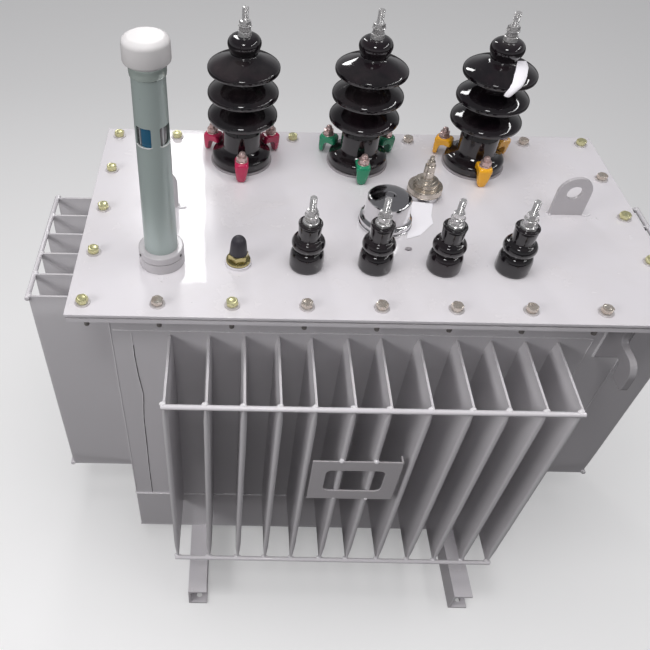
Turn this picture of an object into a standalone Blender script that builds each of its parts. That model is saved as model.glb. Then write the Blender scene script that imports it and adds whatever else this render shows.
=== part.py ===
# Oil-filled power transformer with a corrugated tank, standing on two channel skids.
# Metres, +Z up, origin on the floor under the middle of the tank, front (low-voltage side) towards -Y.

import math

import bmesh
import bpy
from mathutils import Matrix, Vector

# Clearance kept between pieces that touch, and the overrun of every cut
SEAT_GAP = 0.0003
CUT_OVERRUN = 0.004

# Facets of round forms, and the angle above which an edge stays sharp
ROUND_SEGMENTS = 24
SMALL_SEGMENTS = 16
ROD_SIDES = 12
HEXAGON = 6
CURVE_STEPS = 4
SHARP_ANGLE = math.radians(35)

# Skids: rolled channels, web to the left
SKID_HEIGHT = 0.066
SKID_FLANGE = 0.043
SKID_WEB_THICK = 0.005
SKID_FLANGE_THICK = 0.0075
SKID_LENGTH = 0.774
SKID_END_INSET = 0.144
SKID_HOLE_RADIUS = 0.007
SKID_HOLE_INSET = 0.019

# Tank body
TANK_LENGTH = 0.900
TANK_WIDTH = 0.438
TANK_WALL = 0.004
FLOOR_THICK = 0.006
WALL_HEIGHT = 0.7683
BAND_HEIGHT = 0.143
BAND_PROUD = 0.002

# Rim, gasket and cover
RIM_THICK = 0.008
RIM_MARGIN = 0.002
GASKET_THICK = 0.004
GASKET_MARGIN = 0.006
COVER_END_OVERHANG = 0.0565
COVER_SIDE_OVERHANG = 0.054
COVER_THICK = 0.006

# Cooling fins and the round bars across their tips
FIN_THICK = 0.0105
FIN_END_THICK = 0.004
FIN_END_LENGTH = 0.038
FIN_TIP_BEVEL = 0.0019
FIN_ROOT_SINK = 0.002
FIN_FOOT_GAP = 0.1222
FIN_HEAD_GAP = 0.0826
LONG_FIN_COUNT = 12
LONG_FIN_LEFT_GAP = 0.10355
LONG_FIN_RIGHT_GAP = 0.12435
LONG_FIN_DEPTH = 0.1445
SHORT_FIN_COUNT = 6
SHORT_FIN_FRONT_GAP = 0.0895
SHORT_FIN_BACK_GAP = 0.0535
SHORT_FIN_DEPTH = 0.1625
BAR_RADIUS = 0.0045
BAR_SINK = 0.0022
BAR_END_OVERHANG = 0.004
BAR_INSET = 0.004
BAR_SIDES = 6

# Lifting hooks at two opposite tank corners
HOOK_THICK = 0.012
HOOK_CORNER_INSET = 0.036
HOOK_TOP_DROP = 0.010
HOOK_ROOT_HEIGHT = 0.1106
HOOK_NECK = 0.038
HOOK_NECK_FILLET = 0.010
HOOK_REACH = 0.0985
HOOK_ARM_DROP = 0.0266
HOOK_SHOULDER_RADIUS = 0.0265
HOOK_NOSE_DROP = 0.0846
HOOK_NOSE_CORNER = 0.009
HOOK_NOSE_INNER = 0.0634
HOOK_THROAT_OUT = 0.0543
HOOK_THROAT_DROP = 0.0571
HOOK_THROAT_RADIUS = 0.006
HOOK_SLOPE_ANGLE = math.radians(139)

# Name-plate bracket welded across two fin tips
BRACKET_WIDTH = 0.161
BRACKET_HEIGHT = 0.128
BRACKET_THICK = 0.003
BRACKET_RETURN = 0.012
BRACKET_CENTRE_X = -0.0115
BRACKET_DROP = 0.227
WINDOW_WIDTH = 0.107
WINDOW_HEIGHT = 0.070
WINDOW_CORNER = 0.012

# Lifting lugs on the cover
LUG_END_INSET = 0.133
LUG_Y = 0.010
LUG_WIDTH = 0.062
LUG_THICK = 0.007
LUG_EYE_HEIGHT = 0.0485
LUG_EYE_RADIUS = 0.0135

# High-voltage bushings
HV_PITCH = 0.2317
HV_CENTRE_X = 0.005
HV_EDGE_INSET = 0.104
HV_FLANGE_RADIUS = 0.0576
HV_FLANGE_HEIGHT = 0.0215
HV_SHOULDER_RADIUS = 0.045
HV_SHOULDER_RISE = 0.0035
HV_NECK_RADIUS = 0.037
HV_NECK_FOOT = 0.033
HV_NECK_TOP = 0.066
HV_SHED_RADIUS = 0.0663
HV_SHED_HEIGHTS = (0.1000, 0.1455, 0.1942)
HV_SHED_UNDER = 0.0135
HV_SHED_OVER = 0.026
HV_SHED_LIP = 0.0065
HV_CORE_RADIUS = 0.031
# A rain shed's outline: across from the core and up, then back and up at its lip, then across and down
SHED_OVER_SHARES = ((0, 1), (0.36, 0.66))
SHED_LIP_SHARES = ((0.75, 0.95), (0.15, 0.45), (0, -0.2), (0.5, -1))
SHED_UNDER_SHARES = ((0.3, 0.72), (0, 1))
HV_HEAD_RADIUS = 0.0302
HV_HEAD_NECK_RADIUS = 0.0265
HV_HEAD_MIDDLE = 0.2395
HV_HEAD_HALF = 0.0125
# The round head: its flat top, the levels of its outline and how much of a full circle it takes
HEAD_FLAT_SHARE = 0.6
HEAD_LEVEL_SHARES = (0.7, 0.25, -0.25, -0.75)
HEAD_CIRCLE_SHARE = 0.62
HV_SEGMENTS = 20
HV_STUD_RADIUS = 0.006
HV_STUD_TOP = 0.3016
HV_WASHER_RADIUS = 0.0125
HV_WASHER_THICK = 0.0085
HV_NUT_RADIUS = 0.0112
HV_NUT_THICK = 0.0175

# Clamp claws that hold each high-voltage bushing down
CLAW_COUNT = 3
CLAW_WIDTH = 0.024
CLAW_OUTER_RADIUS = 0.083
CLAW_FOOT = 0.0095
CLAW_HEIGHT = 0.034
CLAW_SADDLE_RISE = 0.006
CLAW_TOE_RADIUS = 0.0475
CLAW_TOE_DROP = 0.0032
CLAW_ARCH = 0.0115
CLAW_ARCH_ROOT = 0.0184
CLAW_BATTER = 0.0016
CLAW_CORNER = 0.0048
CLAW_FLANGE_CLEARANCE = 0.0025

# Low-voltage bushings
LV_COUNT = 4
LV_PITCH = 0.1168
LV_FIRST_X = -0.1156
LV_EDGE_INSET = 0.130
LV_BELL_RADIUS = 0.0290
LV_BELL_HEIGHT = 0.034
LV_WAIST_RADIUS = 0.0195
LV_WAIST = 0.0375
LV_RING_RADIUS = 0.0284
LV_RING_MIDDLE = 0.0482
LV_RING_HALF = 0.0105
# Levels of the ring's round outline, and places down the bell's shoulder with the height that it covers
RING_LEVEL_SHARES = (0.62, 0.25, -0.25, -0.62)
BELL_LEVEL_SHARES = (0.16, 0.34, 0.62, 0.86)
BELL_SHOULDER_SHARE = 0.62
LV_NECK_RADIUS = 0.0181
LV_HEAD_RADIUS = 0.0200
LV_TOP = 0.0905
LV_SEGMENTS = 16
LV_STUD_RADIUS = 0.0058
LV_STUD_TOP = 0.140
LV_WASHER_RADIUS = 0.0138
LV_WASHER_THICK = 0.0042
LV_NUT_RADIUS = 0.0105
LV_NUT_THICK = 0.0098
LV_NUT_GAP = 0.0024

# Oil gauge tube
GAUGE_POCKET_DISTANCE = 0.1297
GAUGE_SETBACK = 0.0045
SOCKET_RADIUS = 0.0380
SOCKET_HEIGHT = 0.033
SOCKET_JOINT = 0.0185
SOCKET_GROOVE = 0.0012
SOCKET_CHAMFER = 0.002
TUBE_FOOT_RADIUS = 0.0276
TUBE_HEAD_RADIUS = 0.0243
TUBE_WALL = 0.0028
TUBE_LENGTH = 0.302
TUBE_WINDOW_WIDTH = 0.0205
TUBE_WINDOW_HEIGHT = 0.031
TUBE_WINDOW_MIDDLE = 0.216
TUBE_WINDOW_TURN = math.radians(56.5)
GLASS_LENGTH = 0.076
GLASS_WALL = 0.003
COLLAR_RADIUS = 0.0289
COLLAR_HEIGHT = 0.017
CAP_RADIUS = 0.0336
CAP_TOP_RADIUS = 0.0322
CAP_HEIGHT = 0.036
CAP_ROUND = 0.006
CAP_LIP = 0.0022
CAP_LIP_DEPTH = 0.0007

# Thermometer pocket and its rubber cap
POCKET_BUSHING_DISTANCE = 0.1154
POCKET_BOSS_RADIUS = 0.0225
POCKET_BOSS_HEIGHT = 0.006
POCKET_FLANGE_RADIUS = 0.0208
POCKET_FLANGE_THICK = 0.0045
POCKET_HEX_RADIUS = 0.0178
POCKET_HEX_HEIGHT = 0.0125
RUBBER_RADIUS = 0.0151
RUBBER_HEIGHT = 0.0335
RUBBER_CROWN_SHARE = 0.75

# Tap-changer cup
CUP_X = 0.0345
CUP_Y = -0.0255
CUP_FOOT_RADIUS = 0.0482
CUP_FOOT_HEIGHT = 0.005
CUP_FLARE_HEIGHT = 0.015
CUP_RADIUS = 0.0396
CUP_HEIGHT = 0.0608
CUP_ROUND = 0.0028
CUP_DISH = 0.0015
CUP_DISH_SHARES = (0.3, 0.36)
CUP_FLARE_SHARES = (0.35, 0.7)

# Pressure-relief valve
RELIEF_X = 0.1185
RELIEF_Y = 0.0567
RELIEF_FOOT_RADIUS = 0.0271
RELIEF_FOOT_HEIGHT = 0.0125
RELIEF_DISC_RADIUS = 0.0323
RELIEF_DISC_HEIGHT = 0.0262
RELIEF_STEP_RADIUS = 0.0217
RELIEF_STEP_HEIGHT = 0.0395
RELIEF_STEM_RADIUS = 0.0098
RELIEF_STEM_HEIGHT = 0.0716
RELIEF_NUT_RADIUS = 0.0078
RELIEF_NUT_HEIGHT = 0.078
RELIEF_ROD_RADIUS = 0.0042
RELIEF_ROD_HEIGHT = 0.0876
RELIEF_EDGE = 0.0022

# Heights that follow from the stack of skids, tank, rim, gasket and cover
FLOOR_BOTTOM = SKID_HEIGHT
WALL_BOTTOM = FLOOR_BOTTOM + FLOOR_THICK + SEAT_GAP
WALL_TOP = WALL_BOTTOM + WALL_HEIGHT
RIM_BOTTOM = WALL_TOP + SEAT_GAP
GASKET_BOTTOM = RIM_BOTTOM + RIM_THICK + SEAT_GAP
COVER_BOTTOM = GASKET_BOTTOM + GASKET_THICK + SEAT_GAP
COVER_TOP = COVER_BOTTOM + COVER_THICK
FITTING_SEAT = COVER_TOP + SEAT_GAP

# Sizes and places that follow from the tank and its cover
SKID_SPACING = TANK_LENGTH - 2 * SKID_END_INSET
COVER_LENGTH = TANK_LENGTH + 2 * COVER_END_OVERHANG
COVER_WIDTH = TANK_WIDTH + 2 * COVER_SIDE_OVERHANG
FIN_BASE = WALL_BOTTOM + FIN_FOOT_GAP
FIN_HEIGHT = WALL_HEIGHT - FIN_FOOT_GAP - FIN_HEAD_GAP
LONG_FIN_PITCH = (TANK_LENGTH - LONG_FIN_LEFT_GAP - LONG_FIN_RIGHT_GAP) / (LONG_FIN_COUNT - 1)
LONG_FIN_SHIFT = (LONG_FIN_LEFT_GAP - LONG_FIN_RIGHT_GAP) / 2
SHORT_FIN_PITCH = (TANK_WIDTH - SHORT_FIN_FRONT_GAP - SHORT_FIN_BACK_GAP) / (SHORT_FIN_COUNT - 1)
SHORT_FIN_SHIFT = (SHORT_FIN_FRONT_GAP - SHORT_FIN_BACK_GAP) / 2
BRACKET_CENTRE_Z = FIN_BASE + FIN_HEIGHT - BRACKET_DROP
LUG_SPACING = COVER_LENGTH - 2 * LUG_END_INSET
HV_Y = COVER_WIDTH / 2 - HV_EDGE_INSET
LV_Y = LV_EDGE_INSET - COVER_WIDTH / 2
POCKET_X = LV_FIRST_X - POCKET_BUSHING_DISTANCE
GAUGE_X = POCKET_X - GAUGE_POCKET_DISTANCE
GAUGE_Y = LV_Y + GAUGE_SETBACK

for old in list(bpy.data.objects):
    bpy.data.objects.remove(old, do_unlink=True)

parts = bpy.data.collections.new("power_transformer")
cutters = bpy.data.collections.new("cutters")
bpy.context.scene.collection.children.link(parts)
bpy.context.scene.collection.children.link(cutters)


def make_material(name, color, roughness, metallic):
    material = bpy.data.materials.new(name)
    material.use_nodes = True
    shader = material.node_tree.nodes["Principled BSDF"]
    shader.inputs["Base Color"].default_value = (*color, 1)
    shader.inputs["Roughness"].default_value = roughness
    shader.inputs["Metallic"].default_value = metallic
    material.diffuse_color = (*color, 1)
    return material


GREY_PAINT = make_material("grey_paint", (0.70, 0.68, 0.70), 0.35, 0)
DARK_RUBBER = make_material("dark_rubber", (0.05, 0.05, 0.05), 0.6, 0)
BROWN_GLAZE = make_material("brown_glaze", (0.035, 0.018, 0.020), 0.08, 0)
ZINC = make_material("zinc", (0.62, 0.62, 0.60), 0.35, 1)
RED_PAINT = make_material("red_paint", (0.52, 0.02, 0.10), 0.3, 0)
GREEN_PAINT = make_material("green_paint", (0.01, 0.30, 0.15), 0.3, 0)
YELLOW_PAINT = make_material("yellow_paint", (0.80, 0.42, 0.02), 0.3, 0)
TUBE_PAINT = make_material("tube_paint", (0.36, 0.43, 0.41), 0.3, 0.3)
BLUE_GLASS = make_material("blue_glass", (0.10, 0.30, 0.42), 0.1, 0)
WHITE_PLASTIC = make_material("white_plastic", (0.85, 0.84, 0.84), 0.4, 0)
BRASS = make_material("brass", (0.62, 0.52, 0.26), 0.35, 1)
CHROME = make_material("chrome", (0.80, 0.80, 0.80), 0.08, 1)
NICKEL = make_material("nickel", (0.60, 0.56, 0.50), 0.25, 1)


def new_object(name, mesh, collection):
    item = bpy.data.objects.new(name, mesh)
    collection.objects.link(item)
    return item


def finish_mesh(name, work, collection=None):
    mesh = bpy.data.meshes.new(name)
    bmesh.ops.recalc_face_normals(work, faces=work.faces[:])
    work.to_mesh(mesh)
    work.free()
    return new_object(name, mesh, collection or parts)


def as_cutter(item):
    for owner in list(item.users_collection):
        owner.objects.unlink(item)
    cutters.objects.link(item)
    item.hide_render = True
    item.display_type = "WIRE"
    return item


def apply_all(item):
    # The evaluated shape replaces the object's own mesh, so that it can be used again as an operand.
    bpy.context.view_layer.update()
    evaluated = item.evaluated_get(bpy.context.evaluated_depsgraph_get())
    mesh = bpy.data.meshes.new_from_object(evaluated)
    item.modifiers.clear()
    item.data = mesh
    return item


def combine(item, other, operation):
    as_cutter(other)
    step = item.modifiers.new(operation.lower(), "BOOLEAN")
    step.operation = operation
    step.solver = "EXACT"
    step.object = other
    return item


def add_box(work, low, high):
    size = Vector(high) - Vector(low)
    middle = (Vector(high) + Vector(low)) / 2
    place = Matrix.Translation(middle) @ Matrix.Diagonal((*size, 1))
    return bmesh.ops.create_cube(work, size=1, matrix=place)["verts"]


def box(name, low, high, material=None):
    work = bmesh.new()
    add_box(work, low, high)
    item = finish_mesh(name, work)
    if material:
        item.data.materials.append(material)
    return item


def add_rod(work, start, end, radius, sides):
    start = Vector(start)
    along = Vector(end) - start
    place = Matrix.Translation(start + along / 2) @ along.to_track_quat("Z", "Y").to_matrix().to_4x4()
    bmesh.ops.create_cone(work, cap_ends=True, cap_tris=False, segments=sides, radius1=radius,
                          radius2=radius, depth=along.length, matrix=place)


def rod(name, start, end, radius, sides, material=None):
    work = bmesh.new()
    add_rod(work, start, end, radius, sides)
    item = finish_mesh(name, work)
    if material:
        item.data.materials.append(material)
    return item


def turned(name, profile, segments, place, material, bore=0):
    # The profile runs from the top down its outer side; both ends close on the axis or on the bore.
    work = bmesh.new()
    outline = [work.verts.new((radius, 0, height)) for radius, height in profile]
    for first, second in zip(outline, outline[1:]):
        work.edges.new((first, second))
    if bore:
        work.edges.new((outline[-1], outline[0]))
    mesh = bpy.data.meshes.new(name)
    work.to_mesh(mesh)
    work.free()
    item = new_object(name, mesh, parts)
    item.location = place
    spin = item.modifiers.new("spin", "SCREW")
    spin.steps = segments
    spin.render_steps = segments
    spin.use_merge_vertices = True
    spin.merge_threshold = SEAT_GAP / 10
    mesh.materials.append(material)
    shade_round(item)
    return item


def shade_round(item):
    apply_all(item)
    item.data.shade_smooth()
    item.data.set_sharp_from_angle(angle=SHARP_ANGLE)


def plate_outline(name, points, thickness, material, holes=()):
    # A flat plate from a filled 2D curve in its own XY plane, made a mesh with welded caps.
    curve = bpy.data.curves.new(name, "CURVE")
    curve.dimensions = "2D"
    curve.fill_mode = "BOTH"
    curve.extrude = thickness / 2
    for loop in (points, *holes):
        spline = curve.splines.new("POLY")
        spline.points.add(len(loop) - 1)
        for point, (across, up) in zip(spline.points, loop):
            point.co = (across, up, 0, 1)
        spline.use_cyclic_u = True
    sketch = new_object(name + "_sketch", curve, parts)
    bpy.context.view_layer.update()
    mesh = bpy.data.meshes.new_from_object(sketch.evaluated_get(bpy.context.evaluated_depsgraph_get()))
    bpy.data.objects.remove(sketch)
    work = bmesh.new()
    work.from_mesh(mesh)
    bmesh.ops.remove_doubles(work, verts=work.verts[:], dist=SEAT_GAP / 10)
    item = finish_mesh(name, work)
    item.data.materials.clear()
    item.data.materials.append(material)
    return item


def arc(centre, radius, start, end, steps):
    angles = [start + (end - start) * step / steps for step in range(steps + 1)]
    return [(centre[0] + radius * math.cos(angle), centre[1] + radius * math.sin(angle)) for angle in angles]


def rounded_rectangle(width, height, radius, steps):
    corners = ((1, 1, 0), (-1, 1, 1), (-1, -1, 2), (1, -1, 3))
    outline = []
    for side_x, side_y, quarter in corners:
        centre = (side_x * (width / 2 - radius), side_y * (height / 2 - radius))
        start = quarter * math.pi / 2
        outline += arc(centre, radius, start, start + math.pi / 2, steps)
    return outline


def make_skids():
    inner = SKID_HEIGHT - SKID_FLANGE_THICK
    outline = [(0, 0), (SKID_FLANGE, 0), (SKID_FLANGE, SKID_FLANGE_THICK),
               (SKID_WEB_THICK, SKID_FLANGE_THICK), (SKID_WEB_THICK, inner), (SKID_FLANGE, inner),
               (SKID_FLANGE, SKID_HEIGHT - SEAT_GAP), (0, SKID_HEIGHT - SEAT_GAP)]
    stand_up = Matrix.Rotation(math.pi / 2, 4, "X")
    for name, side in (("skid_left", -1), ("skid_right", 1)):
        skid = plate_outline(name, outline, SKID_LENGTH, GREY_PAINT)
        skid.data.transform(stand_up)
        skid.location.x = side * SKID_SPACING / 2 - SKID_FLANGE / 2
        middle = skid.location.x + (SKID_FLANGE + SKID_WEB_THICK) / 2
        for end in (-1, 1):
            hole_y = end * (SKID_LENGTH / 2 - SKID_HOLE_INSET)
            drill = rod(f"{name}_drill_{end}", (middle, hole_y, -CUT_OVERRUN),
                        (middle, hole_y, SKID_FLANGE_THICK + CUT_OVERRUN), SKID_HOLE_RADIUS, SMALL_SEGMENTS)
            combine(skid, drill, "DIFFERENCE")


def add_fin(work, along, wall_face, depth):
    # A flat oil pocket along +Y of its own frame, pinched at its top and bottom ends.
    low = (along - FIN_THICK / 2, wall_face - FIN_ROOT_SINK, FIN_BASE)
    high = (along + FIN_THICK / 2, wall_face + depth, FIN_BASE + FIN_HEIGHT)
    fin = bmesh.new()
    add_box(fin, low, high)
    tips = [edge for edge in fin.edges
            if all(abs(vert.co.y - high[1]) < SEAT_GAP for vert in edge.verts)
            and abs(edge.verts[0].co.z - edge.verts[1].co.z) > FIN_THICK]
    bmesh.ops.bevel(fin, geom=tips, offset=FIN_TIP_BEVEL, segments=1, affect="EDGES")
    for level in (FIN_BASE + FIN_END_LENGTH, FIN_BASE + FIN_HEIGHT - FIN_END_LENGTH):
        bmesh.ops.bisect_plane(fin, geom=fin.verts[:] + fin.edges[:] + fin.faces[:],
                               plane_co=(0, 0, level), plane_no=(0, 0, 1))
    pinch = FIN_END_THICK / FIN_THICK
    for vert in fin.verts:
        if min(vert.co.z - low[2], high[2] - vert.co.z) < FIN_END_LENGTH / 2:
            vert.co.x = along + (vert.co.x - along) * pinch
    piece = bpy.data.meshes.new("fin")
    fin.to_mesh(piece)
    fin.free()
    work.from_mesh(piece)
    bpy.data.meshes.remove(piece)


def make_wall(name, length, face, turn, count, pitch, depth, shift):
    # Built facing +Y with its outer face at `face`, then turned about the tank's middle.
    wall = box(name, (-length / 2, face - TANK_WALL, WALL_BOTTOM), (length / 2, face, WALL_TOP), GREY_PAINT)
    band = box(name + "_band", (-length / 2, face - TANK_WALL / 2, WALL_BOTTOM),
               (length / 2, face + BAND_PROUD, WALL_BOTTOM + BAND_HEIGHT))
    combine(wall, band, "UNION")
    fins = bmesh.new()
    places = [shift + (index - (count - 1) / 2) * pitch for index in range(count)]
    for place in places:
        add_fin(fins, place, face, depth)
    combine(wall, finish_mesh(name + "_fins", fins), "UNION")
    bars = bmesh.new()
    reach = face + depth + BAR_RADIUS - BAR_SINK
    for level in (FIN_BASE + BAR_INSET, FIN_BASE + FIN_HEIGHT - BAR_INSET):
        add_rod(bars, (places[0] - FIN_END_THICK - BAR_END_OVERHANG, reach, level),
                (places[-1] + FIN_END_THICK + BAR_END_OVERHANG, reach, level), BAR_RADIUS, BAR_SIDES)
    combine(wall, finish_mesh(name + "_bars", bars), "UNION")
    apply_all(wall)
    wall.data.transform(Matrix.Rotation(turn, 4, "Z"))
    wall.data.materials.clear()
    wall.data.materials.append(GREY_PAINT)
    return wall


def make_tank():
    half_length = TANK_LENGTH / 2
    half_width = TANK_WIDTH / 2
    box("tank_floor", (-half_length - BAND_PROUD, -half_width - BAND_PROUD, FLOOR_BOTTOM),
        (half_length + BAND_PROUD, half_width + BAND_PROUD, FLOOR_BOTTOM + FLOOR_THICK), GREY_PAINT)
    end_length = TANK_WIDTH - 2 * (TANK_WALL + SEAT_GAP)
    # A wall turned half round has its places mirrored, so the front takes the shift with its sign changed.
    make_wall("front_wall", TANK_LENGTH, half_width, math.pi, LONG_FIN_COUNT, LONG_FIN_PITCH,
              LONG_FIN_DEPTH, -LONG_FIN_SHIFT)
    make_wall("back_wall", TANK_LENGTH, half_width, 0, LONG_FIN_COUNT, LONG_FIN_PITCH,
              LONG_FIN_DEPTH, LONG_FIN_SHIFT)
    make_wall("left_wall", end_length, half_length, math.pi / 2, SHORT_FIN_COUNT, SHORT_FIN_PITCH,
              SHORT_FIN_DEPTH, SHORT_FIN_SHIFT)
    make_wall("right_wall", end_length, half_length, -math.pi / 2, SHORT_FIN_COUNT, SHORT_FIN_PITCH,
              SHORT_FIN_DEPTH, -SHORT_FIN_SHIFT)


def frame_ring(name, margin, bottom, thickness, material):
    # A flat rectangular frame between the tank's inside and the edge of the cover.
    outer_x = COVER_LENGTH / 2 - margin
    outer_y = COVER_WIDTH / 2 - margin
    ring = box(name, (-outer_x, -outer_y, bottom), (outer_x, outer_y, bottom + thickness), material)
    inner_x = TANK_LENGTH / 2 - TANK_WALL
    inner_y = TANK_WIDTH / 2 - TANK_WALL
    mouth = box(name + "_mouth", (-inner_x, -inner_y, bottom - CUT_OVERRUN),
                (inner_x, inner_y, bottom + thickness + CUT_OVERRUN))
    return combine(ring, mouth, "DIFFERENCE")


def make_cover():
    frame_ring("tank_rim", RIM_MARGIN, RIM_BOTTOM, RIM_THICK, GREY_PAINT)
    frame_ring("cover_gasket", GASKET_MARGIN, GASKET_BOTTOM, GASKET_THICK, DARK_RUBBER)
    box("cover", (-COVER_LENGTH / 2, -COVER_WIDTH / 2, COVER_BOTTOM),
        (COVER_LENGTH / 2, COVER_WIDTH / 2, COVER_TOP), GREY_PAINT)


def make_lugs():
    half = LUG_WIDTH / 2
    crown = arc((0, LUG_EYE_HEIGHT), half, 0, math.pi, SMALL_SEGMENTS // 2)
    outline = [(-half, 0), (half, 0)] + crown
    eye = arc((0, LUG_EYE_HEIGHT), LUG_EYE_RADIUS, 0, 2 * math.pi, SMALL_SEGMENTS)[:-1]
    for name, side in (("cover_lug_left", -1), ("cover_lug_right", 1)):
        lug = plate_outline(name, outline, LUG_THICK, GREY_PAINT, holes=(eye,))
        lug.data.transform(Matrix.Rotation(math.pi / 2, 4, "X"))
        lug.location = (side * LUG_SPACING / 2, LUG_Y, FITTING_SEAT)


def make_hooks():
    # Outline across the wall (first value, outwards) and up; zero is the wall's face and the root's top.
    quarter = math.pi / 2
    outline = [(0, 0), (HOOK_NECK, 0)]
    outline += arc((HOOK_NECK + HOOK_NECK_FILLET, HOOK_NECK_FILLET - HOOK_ARM_DROP), HOOK_NECK_FILLET,
                   math.pi, math.pi + quarter, CURVE_STEPS)
    outline += arc((HOOK_REACH - HOOK_SHOULDER_RADIUS, -HOOK_ARM_DROP - HOOK_SHOULDER_RADIUS),
                   HOOK_SHOULDER_RADIUS, quarter, 0, CURVE_STEPS)
    outline += arc((HOOK_REACH - HOOK_NOSE_CORNER, HOOK_NOSE_CORNER - HOOK_NOSE_DROP), HOOK_NOSE_CORNER,
                   0, -quarter, CURVE_STEPS)
    outline += [(HOOK_NOSE_INNER, -HOOK_NOSE_DROP)]
    outline += arc((HOOK_THROAT_OUT, -HOOK_THROAT_DROP), HOOK_THROAT_RADIUS, 0, HOOK_SLOPE_ANGLE,
                   CURVE_STEPS)
    outline += [(0, -HOOK_ROOT_HEIGHT)]
    # The curve's own X turns to point away from the wall and its Y points up.
    upright = Matrix(((0, 0, 1, 0), (1, 0, 0, 0), (0, 1, 0, 0), (0, 0, 0, 1)))
    top = WALL_TOP - HOOK_TOP_DROP
    for name, side in (("lifting_hook_back", 1), ("lifting_hook_front", -1)):
        hook = plate_outline(name, outline, HOOK_THICK, GREY_PAINT)
        hook.data.transform(upright)
        if side < 0:
            hook.data.transform(Matrix.Rotation(math.pi, 4, "Z"))
        along = -side * (TANK_LENGTH / 2 - HOOK_CORNER_INSET - HOOK_THICK / 2)
        hook.location = (along, side * (TANK_WIDTH / 2 + SEAT_GAP), top)


def make_bracket():
    window = rounded_rectangle(WINDOW_WIDTH, WINDOW_HEIGHT, WINDOW_CORNER, CURVE_STEPS)
    half_x = BRACKET_WIDTH / 2
    half_z = BRACKET_HEIGHT / 2
    outline = [(-half_x, -half_z), (half_x, -half_z), (half_x, half_z), (-half_x, half_z)]
    bracket = plate_outline("nameplate_bracket", outline, BRACKET_THICK, GREY_PAINT, holes=(window,))
    bracket.data.transform(Matrix.Rotation(math.pi / 2, 4, "X"))
    tip_face = -(TANK_WIDTH / 2 + LONG_FIN_DEPTH)
    bracket.location = (BRACKET_CENTRE_X, tip_face - SEAT_GAP - BRACKET_THICK / 2, BRACKET_CENTRE_Z)
    right = BRACKET_CENTRE_X + half_x
    flange = box("bracket_return", (right - BRACKET_THICK, tip_face - SEAT_GAP - BRACKET_THICK / 2,
                                    BRACKET_CENTRE_Z - half_z),
                 (right, tip_face + BRACKET_RETURN, BRACKET_CENTRE_Z + half_z))
    combine(bracket, flange, "UNION")


def shed_points(height, core_above):
    # One rain shed, from the core above it, over its rounded lip, to the core below it.
    points = [(core_above + (HV_SHED_RADIUS - core_above) * across, height + HV_SHED_OVER * up)
              for across, up in SHED_OVER_SHARES]
    points += [(HV_SHED_RADIUS - HV_SHED_LIP * back, height + HV_SHED_LIP * up)
               for back, up in SHED_LIP_SHARES]
    points += [(HV_CORE_RADIUS + (HV_SHED_RADIUS - HV_CORE_RADIUS) * across, height - HV_SHED_UNDER * down)
               for across, down in SHED_UNDER_SHARES]
    return points


def hv_profile():
    head_top = HV_HEAD_MIDDLE + HV_HEAD_HALF
    points = [(0, head_top), (HV_HEAD_RADIUS * HEAD_FLAT_SHARE, head_top)]
    for share in HEAD_LEVEL_SHARES:
        bulge = math.sqrt(1 - (share * HEAD_CIRCLE_SHARE) ** 2)
        points.append((HV_HEAD_RADIUS * bulge, HV_HEAD_MIDDLE + HV_HEAD_HALF * share))
    for height in reversed(HV_SHED_HEIGHTS):
        core = HV_HEAD_NECK_RADIUS if height == HV_SHED_HEIGHTS[-1] else HV_CORE_RADIUS
        points += shed_points(height, core)
    points += [(HV_NECK_RADIUS, HV_NECK_TOP), (HV_NECK_RADIUS, HV_NECK_FOOT),
               (HV_SHOULDER_RADIUS, HV_FLANGE_HEIGHT + HV_SHOULDER_RISE),
               (HV_FLANGE_RADIUS - HV_SHOULDER_RISE, HV_FLANGE_HEIGHT),
               (HV_FLANGE_RADIUS, HV_FLANGE_HEIGHT - HV_SHOULDER_RISE),
               (HV_FLANGE_RADIUS, 0), (0, 0)]
    return points


def make_stud(name, place, base, washer_radius, washer_thick, nuts, nut_radius, stud_radius, top):
    # A threaded terminal with a thick washer and hexagon nuts, in one piece.
    x, y = place
    stud = rod(name, (x, y, base), (x, y, top), stud_radius, ROD_SIDES, ZINC)
    washer = rod(name + "_washer", (x, y, base), (x, y, base + washer_thick), washer_radius, SMALL_SEGMENTS)
    combine(stud, washer, "UNION")
    for index, (low, high) in enumerate(nuts):
        nut = rod(f"{name}_nut_{index}", (x, y, low), (x, y, high), nut_radius, HEXAGON)
        combine(stud, nut, "UNION")
    return stud


def make_hv_bushings():
    profile = hv_profile()
    head_top = FITTING_SEAT + HV_HEAD_MIDDLE + HV_HEAD_HALF
    paints = (RED_PAINT, GREEN_PAINT, YELLOW_PAINT)
    for index, paint in enumerate(paints):
        number = index + 1
        x = HV_CENTRE_X + (index - 1) * HV_PITCH
        turned(f"hv_porcelain_{number}", profile, HV_SEGMENTS, (x, HV_Y, FITTING_SEAT), BROWN_GLAZE)
        base = head_top + SEAT_GAP
        nut_base = base + HV_WASHER_THICK
        make_stud(f"hv_stud_{number}", (x, HV_Y), base, HV_WASHER_RADIUS, HV_WASHER_THICK,
                  [(nut_base, nut_base + HV_NUT_THICK)], HV_NUT_RADIUS, HV_STUD_RADIUS,
                  COVER_TOP + HV_STUD_TOP)
        make_claws(number, x, paint)


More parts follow.
